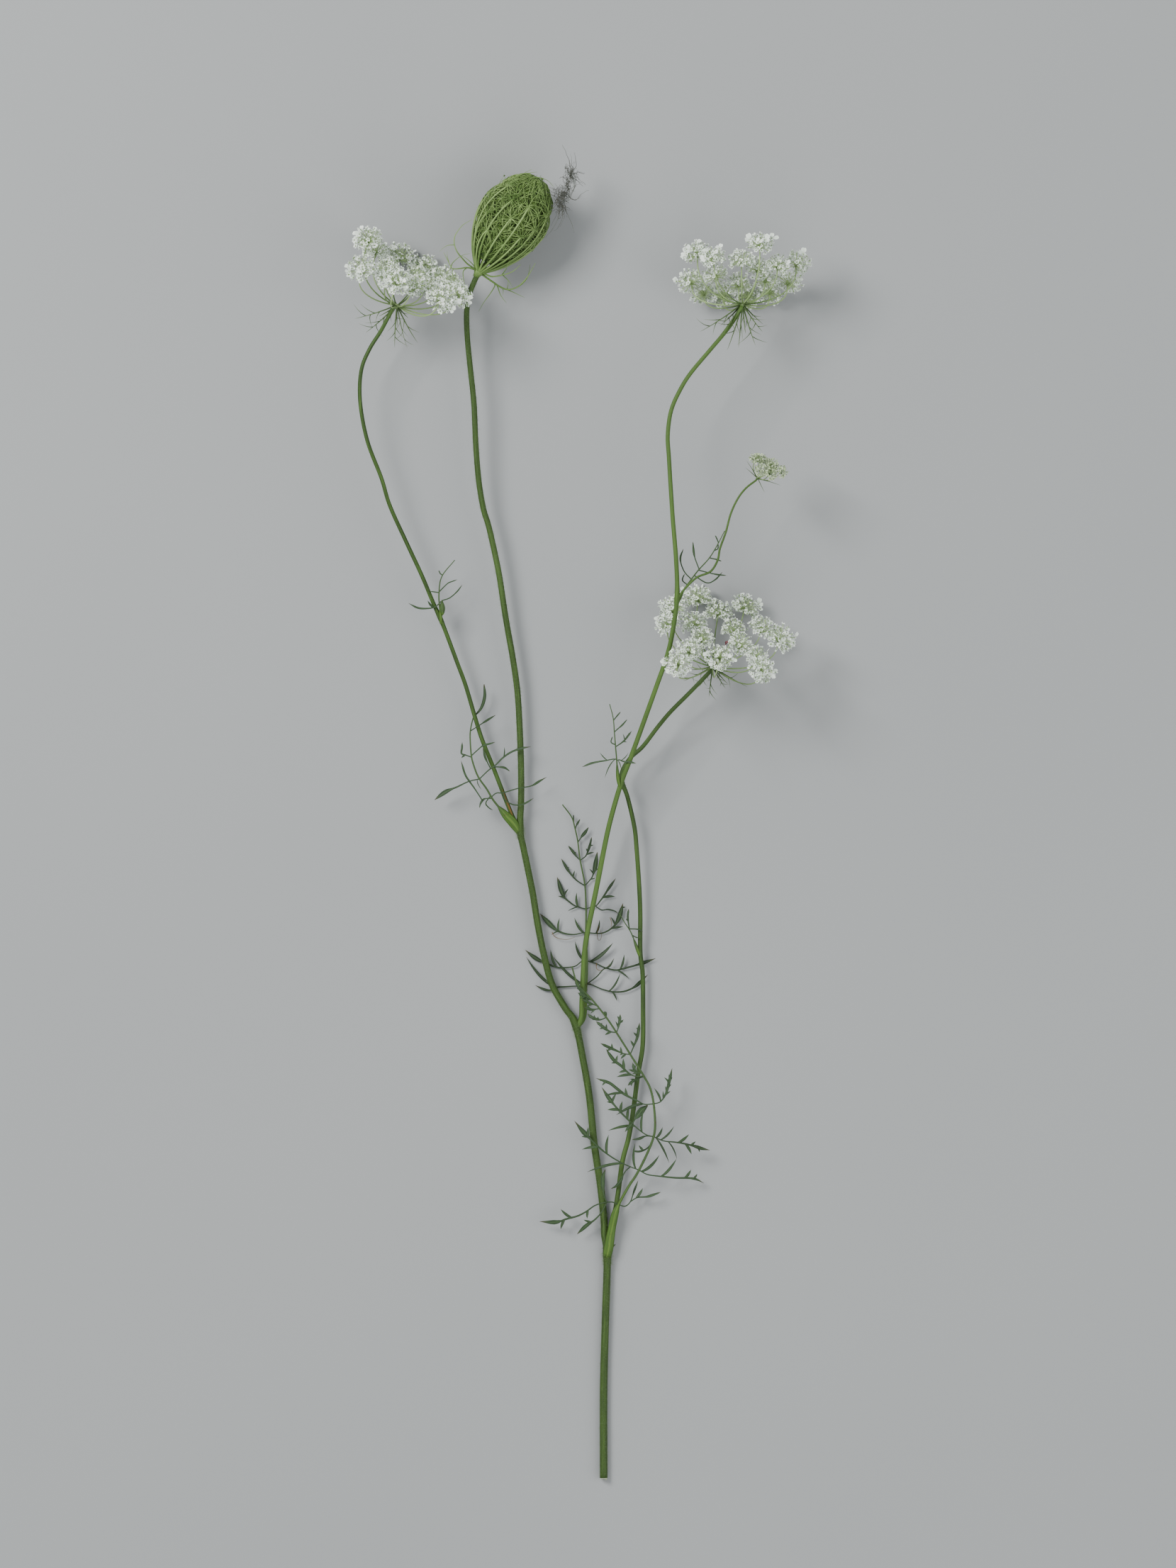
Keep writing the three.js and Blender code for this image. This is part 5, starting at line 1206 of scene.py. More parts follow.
# %% Places of the umbellets
# An umbellet is [azimuth, distance from the axis, height, radius, length of its longest petal].
# A bract is [azimuth, degrees from the stalk, length, pairs of side threads].
OPEN_UMBELS = {
    "left": {
        "hub": HEADS["left"],
        "lean": 21,
        "tilt": 16,
        "umbellets": [
            [140, 24, 12.2, 7.6, 3.6], [181, 20.5, 21.3, 7.1, 3.4], [97, 22, 14.6, 7.3, 2.6],
            [45, 23.5, 13, 7.6, 3.6], [118, 15, 12.4, 6.6, 2.4], [72, 13, 13, 6.6, 2.4],
            [253, 21.5, 14, 7.3, 3.2], [283, 21.5, 13.4, 7.3, 3.2], [312, 21, 13, 7.1, 3.2],
            [339, 20, 14, 6.6, 2.8], [15, 23, 14.4, 6.6, 3.2], [220, 21, 14.4, 7.1, 3.2],
            [205, 10, 12, 6.3, 2.2], [288, 10.5, 11.6, 6.3, 2.2], [15, 9, 11.8, 6.3, 2.2],
        ],
        "bracts": [
            [180, 46, 19.3, 2], [172, 24, 19.3, 2], [150, 11, 14, 1], [20, 16, 20, 2], [8, 30, 20, 2],
            [350, 43, 19.5, 1], [330, 55, 8, 1], [235, 42, 14, 1], [290, 36, 15, 1],
        ],
    },
    "right": {
        "hub": HEADS["right"],
        "lean": 0,
        "tilt": -17,
        "umbellets": [
            [157, 20.5, 19, 6.8, 3.6], [127, 20, 14.2, 6.1, 3.2], [92, 12.5, 14, 6.4, 2.4],
            [70, 21, 18.6, 6.6, 3.6], [36, 18, 12.6, 6.1, 2.6], [8, 22.8, 16.2, 6.6, 3.6],
            [333, 21.5, 12.6, 6.8, 2.8], [44, 8.6, 13, 6.2, 2.2], [196, 22, 11.4, 6.8, 3],
            [222, 21.5, 9.4, 6.8, 3], [192, 11.4, 13, 6.4, 2.2], [330, 11, 12, 6.4, 2.2],
            [248, 20.5, 10, 6.8, 2.8], [278, 20, 10, 6.8, 2.8], [305, 20.5, 10.6, 6.8, 2.8],
            [260, 8.5, 11, 6.2, 2.2],
        ],
        "bracts": [
            [180, 51, 22, 2], [175, 30, 22, 1], [165, 15, 25, 1], [120, 8, 23.5, 1], [60, 9, 16, 1],
            [10, 14, 22, 2], [0, 30, 16, 2], [200, 45, 13, 2], [330, 50, 12, 1],
        ],
    },
    "lower": {
        "hub": HEADS["lower"],
        "lean": 10,
        "tilt": 35,
        "umbellets": [
            [123, 27, 13.4, 6.8, 2.8], [84, 18.6, 17.6, 6.8, 2.8], [42, 26.6, 14.6, 6.8, 3.4],
            [356, 25.4, 18, 7.5, 3.6], [190, 21.6, 14, 6.2, 2.8], [134, 15.6, 13, 5.9, 2.4],
            [266, 20.6, 12.6, 7.1, 2.4], [246, 26.2, 15.4, 7.3, 3.4], [291, 25, 15.6, 7.3, 3.6],
            [321, 22.4, 13, 6.8, 2.6], [20, 18, 12.6, 5.9, 2.4], [215, 25, 14.4, 7.1, 3.2],
            [225, 15.2, 11.6, 6.6, 2.2], [296, 13.6, 11, 6.6, 2.2], [200, 6.8, 10.6, 6.4, 2.2],
            [345, 9.8, 10.8, 6.4, 2.2],
        ],
        "bracts": [
            [180, 44, 15, 2], [60, 5, 16.5, 2], [160, 20, 12, 2], [20, 38, 11, 2], [0, 63, 17, 1],
            [30, 60, 9, 1], [215, 50, 13, 1], [330, 45, 12, 1],
        ],
    },
}
SMALL_UMBEL = {
    "hub": HEADS["small"],
    "lean": 34,
    "tilt": 18,
    "umbellets": [
        [180, 4.8, 5.8, 3.3, 1.5], [290, 4.4, 6.4, 3.3, 1.4], [0, 6.5, 7.6, 3.3, 1.6],
        [55, 5.5, 5.6, 3.3, 1.5], [95, 4.8, 4.4, 3.3, 1.4], [230, 4.6, 6, 3.3, 1.4],
        [20, 2.4, 6.6, 3, 1.3],
    ],
    "bracts": [[30, 66, 7, 0], [175, 120, 9, 0], [160, 105, 7, 0], [5, 112, 10, 0], [260, 60, 5, 0]],
}


def umbel_frame(hub, lean, tilt):
    """The umbel's own axes, as rows, and its hub. They point to its right, along its own axis and
    to the side that faces up."""
    lean, tilt = math.radians(lean), math.radians(tilt)
    right = np.array([math.cos(lean), -math.sin(lean), 0.0])
    axis = np.array(
        [math.sin(lean) * math.cos(tilt), math.cos(lean) * math.cos(tilt), math.sin(tilt)]
    )
    return np.stack([right, axis, np.cross(right, axis)]), np.array(hub, float)


def around(azimuth, reach, height):
    """A place in an umbel's own frame, at an angle round its axis in degrees."""
    turn = math.radians(azimuth)
    return np.array([reach * math.cos(turn), height, reach * math.sin(turn)])


print("open heads:", {name: len(shape["umbellets"]) for name, shape in OPEN_UMBELS.items()})

# %% [markdown]
# ### The floret
#
# A petal starts as a disc of triangles round a middle corner. Its rim is pulled into a round blade
# with a narrow foot and a small notch at the tip, and its middle sinks a little. The disc is
# doubled, the copy is turned over and lowered in the middle, and the two are merged along their rim,
# so a petal is a closed thin lens. Five of them, each turned by a fifth of a circle, and a small
# cone in the middle make a floret. A few variants are made once and laid everywhere: small ones for
# the middle of an umbellet, and lopsided ones with one or two large petals for its edge. A single
# flat sheet would be lighter, but it has a dark side and no edge that catches the light.

# %% Petals
# All as shares of the petal's length.
BLADE_MIDDLE = 0.62
BLADE_REACH = 0.4
NOTCH = 0.08
PETAL_THICKNESS = 0.04


def petal(bm, length, half_width, turn, cup, twist, rim_points):
    """One closed petal, from the middle of the floret outwards."""
    made = bmesh.new()
    bmesh.ops.create_circle(made, cap_ends=True, cap_tris=True, segments=rim_points, radius=1.0)
    for vert in made.verts:
        angle = math.atan2(-vert.co.x, vert.co.y)
        if vert.co.length < 0.1:
            vert.co = (BLADE_MIDDLE, 0.0, 0.3 * cup)
            continue
        along = 0.5 + 0.5 * math.cos(angle)
        blade = math.sqrt(max(0.0, 1 - ((along - BLADE_MIDDLE) / BLADE_REACH) ** 2))
        side = math.copysign(half_width * max(blade, 0.2 * along), math.sin(angle))
        side *= abs(math.sin(angle)) > 0.01
        along -= NOTCH * math.exp(-((angle / 0.35) ** 2))
        vert.co = (along, side, cup * along * along + twist * side)
    top = made.verts[:] + made.edges[:] + made.faces[:]
    copy = bmesh.ops.duplicate(made, geom=top)["geom"]
    below = [part for part in copy if isinstance(part, bmesh.types.BMFace)]
    bmesh.ops.reverse_faces(made, faces=below)
    for vert in {v for f in below for v in f.verts if not v.is_boundary}:
        vert.co.z -= PETAL_THICKNESS
    bmesh.ops.remove_doubles(made, verts=made.verts, dist=1e-4)
    bmesh.ops.recalc_face_normals(made, faces=made.faces)
    for edge in made.edges:
        edge.smooth = edge.calc_face_angle(0.0) < 1.2
    matrix = Matrix.Rotation(turn, 4, "Z") @ Matrix.Scale(length, 4)
    bmesh.ops.transform(made, matrix=matrix, verts=made.verts)
    mesh = bpy.data.meshes.new("petal")
    made.to_mesh(mesh)
    made.free()
    bm.from_mesh(mesh)


print("a petal's blade is widest at", BLADE_MIDDLE, "of its length")

# %% [markdown]
# The petals of a floret are marked for the finishes: `share` runs from the foot to the tip of each
# petal, and `grain` from one edge to the other. The small cone in the middle has a `share` of -1,
# which makes it green.

# %% Floret templates
GREEN_MIDDLE = -1.0


def floret_template(name, lengths, cup, twist):
    """A floret with petals of the given lengths, the first of them along +X."""
    bm = bmesh.new()
    grain, share = [], []
    for k, length in enumerate(lengths):
        turn = 2 * math.pi * k / len(lengths)
        before = len(bm.verts)
        half_width, rim_points = (0.37, 12) if length > 1.2 else (0.36, 8)
        petal(bm, length, half_width, turn, cup, twist, rim_points)
        bm.verts.ensure_lookup_table()
        for vert in bm.verts[before:]:
            along = vert.co.x * math.cos(turn) + vert.co.y * math.sin(turn)
            side = vert.co.y * math.cos(turn) - vert.co.x * math.sin(turn)
            grain.append((side / (half_width * length), along / length, k))
            share.append(along / length)
    before = len(bm.verts)
    bmesh.ops.create_cone(
        bm, cap_ends=True, segments=4, radius1=0.24, radius2=0.1, depth=0.3,
        matrix=Matrix.Translation((0, 0, 0.05)),
    )
    for _ in bm.verts[before:]:
        grain.append((0, 0, 9))
        share.append(GREEN_MIDDLE)
    made = Template(name, bm)
    made.grain, made.share = np.array(grain), np.array(share)
    return made


inner_florets = [
    floret_template("floret_flat", (1, 0.86, 1.08, 0.82, 0.98), 0.3, 0.2),
    floret_template("floret_cupped", (0.95, 1.04, 0.8, 1, 0.76), 0.8, -0.25),
    floret_template("floret_loose", (1.14, 0.7, 0.92, 1.0, 0.6), 0.05, 0.4),
]
rim_florets = [
    floret_template("floret_rim_one", (3.0, 1.3, 0.9, 0.9, 2.2), 0.22, 0.16),
    floret_template("floret_rim_two", (3.0, 2.4, 1.0, 0.9, 1.2), 0.3, -0.2),
    floret_template("floret_rim_three", (2.8, 1.1, 1.6, 1.0, 1.2), 0.12, 0.24),
]
print("a floret has", len(inner_florets[0].mesh.polygons), "faces, a large one",
      len(rim_florets[0].mesh.polygons))

# %% [markdown]
# ### An umbellet
#
# The florets of an umbellet are turned by the golden angle, each from the last, while they go from
# its top down to its sides. That covers the half ball evenly with no rows to be seen. A grid of
# rings would cover it too, but its rows would show. The thin stalks all start at the end of the ray,
# so from below they look like a green star.

# %% Growing an umbellet
GOLDEN = math.radians(137.508)
WIDEST_FALL = math.radians(105)  # from an umbellet's axis to its lowest floret stalks
RIM_FALL = math.radians(30)  # and to where the large petals start
FLORETS = 66  # in an umbellet of an open head
YOUNG_FLORETS = 34
YOUNG_SIZE = 0.45


def axes_for(out, towards):
    """Right-handed axes with Z along `out` and X as near as may be to `towards`."""
    z = unit(out)
    x = unit(towards - z * np.dot(towards, z))
    return np.stack([x, np.cross(z, x), z])


def umbellet(greens, whites, frame, hub, spec, size, count):
    """A spray of florets on stalks of about one length. On the outside of the head some of them
    have large petals, which stand up and away. A floret that would reach into the table is lifted."""
    azimuth, reach, height, radius, longest = spec
    young = size < 1
    outward = around(azimuth, 1.0, 0.0)
    axis = unit(around(azimuth, 0.028 * reach / size, 1.0))
    foot = around(azimuth, reach, height)
    side = unit(np.cross(axis, outward))
    across = np.cross(side, axis)
    first = rng.uniform(0, 2 * math.pi)
    for i in range(count):
        fall = math.acos(1 - (1 - math.cos(WIDEST_FALL)) * (i + 0.5) / count)
        turn = first + i * GOLDEN
        radial = math.cos(turn) * across + math.sin(turn) * side
        away = math.cos(fall) * axis + math.sin(fall) * radial
        stalk_length = radius * np.interp(fall, [0, 0.9, WIDEST_FALL], [0.92, 0.96, 0.72])
        spot = stalk_length * rng.uniform(0.74, 1.07) * away
        outside = reach > 15 * size and np.dot(radial, outward) > -0.1
        if outside and i % 3 == 0 and RIM_FALL < fall < 2.2 * RIM_FALL:
            template = rim_florets[int(rng.integers(3))]
            length = longest / 3.0 * rng.uniform(0.7, 0.95)
            look = 0.5 * away + 0.2 * axis + 0.3 * outward + [0, 0, 0.7] + 0.3 * rng.normal(size=3)
            towards = 0.9 * axis + 0.6 * radial + 0.35 * rng.normal(size=3)
        else:
            template = inner_florets[int(rng.integers(3))]
            length = (0.27 if young else 0.17) * radius * rng.uniform(0.75, 1.15)
            look = 0.9 * away + 0.3 * axis + 0.6 * rng.normal(size=3)
            towards = rng.normal(size=3)
        corners = template.corners * length @ axes_for(look, towards) + foot + spot
        corners = corners @ frame + hub
        corners[:, 2] += max(0.0, LOWEST - corners[:, 2].min())
        template.lay(whites, corners, rng.random())
        bend = foot + 0.5 * spot + 0.08 * radius * axis
        line = bezier([foot, bend, foot + spot], 5) @ frame + hub
        width = (0.045 + 0.04 * size) * np.array([1.4, 1.0, 0.9, 1.0, 1.7])
        # a tint above 1 makes the stalks of open florets nearly as pale as a petal: partly their own
        # pale green, partly painted light against the shade inside the umbellet
        tint = (0.3 if young else 1.3) + 0.4 * rng.random()
        stalk(greens, line, width, sides=4, face=frame[2], tint=tint)
    for i in range(6):
        turn = first + i * math.pi / 3
        radial = math.cos(turn) * outward + math.sin(turn) * side
        tip = foot + radius * ((0.9 if young else 0.42) * radial + rng.uniform(-0.25, 0.1) * axis)
        line = bezier([foot, foot + 0.2 * radius * radial - 0.1 * radius * axis, tip], 5)
        taper = size * np.array([0.13, 0.11, 0.08, 0.06, 0.02])
        stalk(greens, line @ frame + hub, taper, sides=4, face=frame[2], tint=0.9)


print("an umbellet of an open head has", FLORETS, "florets")

# %% [markdown]
# ### Rays and bracts
#
# A ray leaves the knob nearly level and curves up, the more so the further out its umbellet is. A
# curve that is only pulled towards two places on its way gives that bend, and it can't swing out as
# a curve through them would. A bract hangs back along the stalk, and its side threads fork from it
# in turn, left and right.

# %% Growing rays and bracts
RAY_RADIUS = 0.29


def ray(greens, frame, hub, spec, size):
    """A ray leaves the knob almost level and curves up to its umbellet."""
    azimuth, reach, height = spec[:3]
    bowl = min(1.0, reach / (size * 20))
    points = [
        around(azimuth, 0.6 * size, 0.2 * size),
        around(azimuth, 0.55 * reach, (1 - bowl) * 0.35 * height),
        around(azimuth, reach * (1 + 0.07 * bowl), (0.3 + 0.25 * (1 - bowl)) * height),
        around(azimuth, reach, height),
    ]
    line = bezier(points, 14) @ frame + hub
    thin = RAY_RADIUS * (0.5 + 0.5 * size)
    width = thin * np.linspace(1.12, 0.78, 14)
    width[-2:] *= [1.1, 1.5]
    face = np.cross(line[7] - hub, frame[2])
    stalk(greens, line, width, sides=8, ribs=0.05, face=face, tint=0.8 * rng.random())


def bract(greens, frame, hub, spec, size):
    """A bract hangs back from the knob and is cut into thin threads."""
    azimuth, from_stalk, length, pairs = spec

    def at(share, turn=0.0, swing=0.0):
        fall = math.radians(from_stalk + swing)
        out = (1.1 * size + length * share) * math.sin(fall)
        drop = -(0.5 * size + length * share) * math.cos(fall) * (1 - 0.15 * share)
        return around(azimuth + turn, out, drop) @ frame + hub

    thick = 0.24 * size + 0.06
    share = np.linspace(0, 1, 12)
    line = np.array([at(s) for s in share])
    face = unit(frame[2] + 0.3 * rng.normal(size=3))
    width = thick * (1.2 * (1 - share) ** 0.6 + 0.05)
    stalk(greens, line, width, 0.6 * width, sides=6, face=face, tint=-0.7)
    for i in range(2 * pairs):
        foot = 0.34 + 0.13 * i + rng.uniform(-0.04, 0.04)
        way = 1 if i % 2 else -1
        turn, swing = rng.uniform(-25, 25), way * rng.uniform(12, 24)
        tip = at(min(0.95, foot + rng.uniform(0.2, 0.34)), turn, swing)
        bend = at(foot + 0.12, 0.3 * turn, 0.3 * swing)
        taper = 0.75 * thick * np.linspace(0.9, 0.1, 8)
        thread = bezier([at(foot), bend, tip], 8)
        stalk(greens, thread, taper, 0.6 * taper, sides=4, face=face, tint=-0.6)


print("a ray is", 2 * RAY_RADIUS, "mm thick")

# %% [markdown]
# ### A whole head
#
# A ribbed knob joins everything. The green parts and the florets go into two meshes, because they
# have different finishes and stand for two solids of the frame.

# %% Growing a head
HUB_RADIUS = 1.05


def grow_head(shape, size=1.0, count=FLORETS):
    """All of a head: its green parts in one mesh and its florets in another."""
    frame, hub = umbel_frame(shape["hub"], shape["lean"], shape["tilt"])
    greens, whites = bmesh.new(), bmesh.new()
    knob = np.array([[0, y * size, 0] for y in (-1.3, -0.7, 0.1, 0.7, 0.95)]) @ frame + hub
    bulge = HUB_RADIUS * size * np.array([0.5, 0.82, 1.0, 0.8, 0.2])
    stalk(greens, knob, bulge, sides=12, face=frame[2], ribs=0.04, tint=0.1)
    for spec in shape["umbellets"]:
        ray(greens, frame, hub, spec, size)
        umbellet(greens, whites, frame, hub, spec, size, count)
    for spec in shape["bracts"]:
        bract(greens, frame, hub, spec, size)
    return greens, whites


for name, shape in OPEN_UMBELS.items():
    greens, whites = grow_head(shape)
    piece(name + "_umbel_stalks", greens, ray_green, "ray_green", name + "_umbel_rays")
    piece(name + "_umbel_petals", whites, petal_white, "petal_white", name + "_umbel_florets")

# %% [markdown]
# ### The young head
#
# It is built like the others at less than half the size, with fewer umbellets and florets, and its
# petals are greenish. The function above takes the size, so only its lists are its own.

# %% Young head
greens, whites = grow_head(SMALL_UMBEL, YOUNG_SIZE, YOUNG_FLORETS)
piece("small_umbel_stalks", greens, ray_green, "ray_green", "small_umbel_rays")
piece("small_umbel_petals", whites, petal_young, "petal_young", "small_umbel_florets")

# %% [markdown]
# ### The dark floret
#
# Many heads of this plant have one dark red floret in the very middle. Here it is in the lower one.
# It is one of the small templates on a stalk of its own, so it only needs a place and a finish.

# %% Dark floret
bm = bmesh.new()
frame_axes, hub = umbel_frame(*(OPEN_UMBELS["lower"][key] for key in ("hub", "lean", "tilt")))
spot = around(20, 4.2, 14.5)
dark = inner_florets[1]
corners = dark.corners * 0.95 @ axes_for(np.array([0, 1.0, 0.3]), np.array([1.0, 0, 0])) + spot
dark.lay(bm, corners @ frame_axes + hub, 0.3)
line = bezier([around(20, 0.5, 0.5), around(20, 2.4, 8), spot], 9) @ frame_axes + hub
stalk(bm, line, 0.16, sides=4, face=frame_axes[2], tint=0.4)
piece("dark_floret", bm, dark_red, "petal_white")

# %% [markdown]
# ## The closed seed head
#
# After flowering the rays bend inwards and the head closes like a bird's nest. The rays are pale
# and ribbed and run up the outside. Each ends in a star of thin stalks that spread over the head,
# with small bristly fruit on them. More stalks and fruit fill the inside, and long bracts curve out
# from the base.
#
# One formula gives the nest's radius at each height, and everything is placed on or inside it by an
# angle, a height and a depth. That is easier to keep in shape than hundreds of separate curves.

# %% Shape of the nest
NEST_LENGTH = 48
NEST_RADIUS = 15.6
SEED_HEAD = {
    "hub": HEADS["nest"],
    "lean": 32.7,
    "tilt": 4,
    # stars of fruit stalks: [azimuth, distance along the axis]
    "stars": [
        [134, 37.6], [107, 33.6], [76, 34.8], [91, 26.6], [134, 23], [46, 28], [76, 16], [25, 25],
        [31, 37], [178, 29], [208, 22], [240, 34], [275, 23], [310, 34], [345, 26],
    ],
}
nest_frame, nest_hub = umbel_frame(SEED_HEAD["hub"], SEED_HEAD["lean"], SEED_HEAD["tilt"])


def nest_radius(along):
    """How far the skin of the nest is from its axis, at a distance along it."""
    share = min(0.995, max(0.0, along) / NEST_LENGTH)
    return NEST_RADIUS * math.sin(math.pi * share**1.2) ** 0.55


def on_nest(azimuth, along, depth=1.0):
    """A place on the skin of the nest, or inside it where the depth is below 1."""
    return around(azimuth, depth * nest_radius(along), along)


def in_place(points):
    """Points of the nest's own frame, as points of the drawing."""
    return np.array(points) @ nest_frame + nest_hub


print("widest radius of the nest:", round(max(nest_radius(s) for s in range(NEST_LENGTH)), 1), "mm")

# %% [markdown]
# ### Fruit
#
# A carrot's fruit is a small ribbed grain with rows of bristles. A few faces are enough at this
# size: a stretched ball, with spikes extruded out of every other face. Loose spikes would be as easy
# to set, but extruded ones keep the grain one closed shape. The operator that makes the ball may
# order its parts differently from one run to the next, so they are sorted by their places first.

# %% Fruit template
def order_on_ball(place):
    """A number that rises with the height of a place and, at one height, with its angle."""
    angle = round(math.degrees(math.atan2(place.y, place.x))) % 360
    return 360 * round(100 * place.z) + angle


def fruit_template():
    """A grain with a spike on every other of its four-sided faces."""
    bm = bmesh.new()
    bmesh.ops.create_uvsphere(bm, u_segments=6, v_segments=4, radius=1.0)
    bm.verts.sort(key=lambda v: order_on_ball(v.co))
    bm.faces.sort(key=lambda f: order_on_ball(f.calc_center_median()))
    bmesh.ops.scale(bm, vec=(0.3, 0.24, 0.62), verts=bm.verts)
    broad = [f for f in bm.faces if len(f.verts) == 4]
    lower_ring, upper_ring = broad[:6], broad[6:]
    for face in lower_ring[::2] + upper_ring[1::2]:
        out = face.normal.copy()
        middle = face.calc_center_median()
        made = bmesh.ops.extrude_discrete_faces(bm, faces=[face])["faces"][0]
        here = Matrix.Translation(-middle)
        bmesh.ops.scale(bm, vec=(0.12, 0.12, 0.12), verts=made.verts, space=here)
        bmesh.ops.translate(bm, vec=0.45 * out, verts=made.verts)
    bmesh.ops.recalc_face_normals(bm, faces=bm.faces)
    return Template("fruit", bm)


fruit = fruit_template()
print("a fruit has", len(fruit.mesh.polygons), "faces")

# %% [markdown]
# ### Rays and stars
#
# The rays that face up are listed with the height at which each one's star sits. Those on the far
# side follow a regular turn. A star's stalks lie against the nest and dip into it, and two in five
# carry a fruit. Smaller stars with no ray of their own fill the gaps. Setting each stalk by hand
# would take thousands of numbers, and from a little way off it would look no different.

# %% Rays and stars of the nest
FRUIT_SHARE = 0.4
NEST_RAY_RADIUS = 0.42
FAR_RAYS = 11
SMALL_STARS = 30
TOP_STARS = 12
RAY_STAR = (16, 7.8)  # how many stalks a star has, and how long they are
SMALL_STAR = (9, 5.6)
TOP_STAR = (11, 4.6)


def star(greens, fruits, azimuth, along, count, length):
    """Stalks that spread from the end of a ray over the nest and into it."""
    centre = on_nest(azimuth, along, 0.97)
    outward = around(azimuth, 1.0, 0.0)
    onward = unit(on_nest(azimuth, along + 1.0) - on_nest(azimuth, along - 1.0))
    aside = np.cross(outward, onward)
    first = rng.uniform(0, 2 * math.pi)
    for i in range(count):
        turn = first + 2 * math.pi * i / count + rng.normal(0, 0.22)
        spread = math.cos(turn) * onward + math.sin(turn) * aside
        swerve = rng.normal(0, 0.22) * np.cross(outward, spread)
        reach = length * rng.uniform(0.55, 1.15)
        dip = rng.uniform(0.3, 1.1) * reach
        tip = centre + reach * (spread + swerve) - 0.75 * dip * outward
        bend = centre + reach * (0.5 * spread - 0.7 * swerve) + rng.uniform(0, 0.16) * reach * outward
        line = in_place(bezier([centre, bend, tip], 8))
        width = np.array([0.22, 0.17, 0.14, 0.13, 0.12, 0.12, 0.11, 0.1]) * rng.uniform(0.75, 1.15)
        tint = rng.random()
        stalk(greens, line, width, sides=4, face=outward @ nest_frame, tint=tint)
        if rng.random() < FRUIT_SHARE:
            axes = axes_for(line[-1] - line[-2], rng.normal(size=3))
            corners = fruit.corners * rng.uniform(0.7, 1.0) @ axes + line[-1]
            fruit.lay(fruits, corners, rng.random())


def nest_ray(greens, azimuth, along, width):
    """A ray from the base of the nest up its side to a star. On the left it swings in at the top."""
    run = np.linspace(0, 1, 18)
    bow = 16 * np.interp(azimuth, [80, 115, 150, 170], [0, 1, 1, 0]) * (1 - run**3)
    points = [on_nest(azimuth + b, s, 0.97) for b, s in zip(bow, along * run**1.15)]
    points[0] = around(azimuth, 1.0, -0.4)
    points[1] = around(azimuth, 2.2, 0.6)
    line = evenly(in_place(points), 24)
    outward = around(azimuth, 1.0, 0.0) @ nest_frame
    taper = width * np.concatenate([np.linspace(1.2, 1.0, 6), np.linspace(1.0, 0.72, 18)])
    tint = 0.3 + 0.5 * rng.random()
    stalk(greens, line, taper, 0.9 * taper, sides=12, ribs=0.05, face=outward, tint=tint)


greens, fruits = bmesh.new(), bmesh.new()
more_rays = [(14, 20), (8, 30), (60, 22), (118, 17), (160, 31)]
more_rays += [(195 + 150 * (i + 0.5) / FAR_RAYS, rng.uniform(17, 33)) for i in range(FAR_RAYS)]
for azimuth, along in [*SEED_HEAD["stars"], *more_rays]:
    nest_ray(greens, azimuth, along, NEST_RAY_RADIUS)
    star(greens, fruits, azimuth, along, *RAY_STAR)
for _ in range(SMALL_STARS):
    star(greens, fruits, rng.uniform(0, 360), rng.uniform(12, 42), *SMALL_STAR)
for i in range(TOP_STARS):
    star(greens, fruits, i * 137.5, 40 + 6 * (i + 0.5) / TOP_STARS, *TOP_STAR)
print("rays:", len(SEED_HEAD["stars"]) + len(more_rays))

# %% [markdown]
# Between the stars the inside of the nest shows as a tangle: the curved threads of the small bracts,
# and deeper down a darker core, which stops the table from showing through. The threads are a piece
# of their own, which keeps each piece light. A noise on a smooth skin would give the colours of the
# tangle but not its broken outline and deep shadows.

# %% Threads and core of the nest
NEST_THREADS = 2000
THREAD_RADIUS = 0.21
CORE_DEPTH = 0.84  # the core's radius as a share of the nest's


def nest_thread(bm, azimuth, along, depth, swing, climb, radius):
    """A curved thread that lies in the skin of the nest. Those further in are painted darker, as shade.
    """
    line = in_place(bezier([
        on_nest(azimuth, along, depth - 0.1),
        on_nest(azimuth + 0.35 * swing, min(46, along + 0.7 * climb), depth + 0.05),
        on_nest(azimuth + swing, min(46.5, along + climb), depth - 0.08),
    ], 7))
    out = around(azimuth, 1.0, 0.0) @ nest_frame
    taper = np.linspace(radius, 0.3 * radius, 7)
    # painted shade: the deeper a thread lies in the nest, the lower its tint and the darker it is
    tint = 8 * (depth - 0.9) + 0.4 * rng.random()
    stalk(bm, line, taper, sides=4, face=out, tint=tint)


threads = bmesh.new()
for _ in range(NEST_THREADS):
    azimuth, along = rng.uniform(0, 360), rng.uniform(5, 45)
    swing, climb = rng.uniform(-34, 34), rng.uniform(1, 10)
    nest_thread(threads, azimuth, along, rng.uniform(0.8, 0.98), swing, climb, THREAD_RADIUS)

core = bmesh.new()
heights = np.linspace(5, 47, 24)
radii = np.array([CORE_DEPTH * nest_radius(s) for s in heights])
radii[-1] = 0.3
core_line = in_place([[0, s, 0] for s in heights])
stalk(core, core_line, radii, sides=32, face=nest_frame[2], ribs=0.04)
print(NEST_THREADS, "threads round a core of", round(radii.max(), 1), "mm radius")

# %% [markdown]
# ### Bracts of the nest
#
# They are long, thin and forked, and each bends in its own way, so their routes are listed like
# those of the stems, with half the width at the foot. A rule with random bends would be shorter, but
# these are what gives the head its outline. The last three lie across the top of the nest.

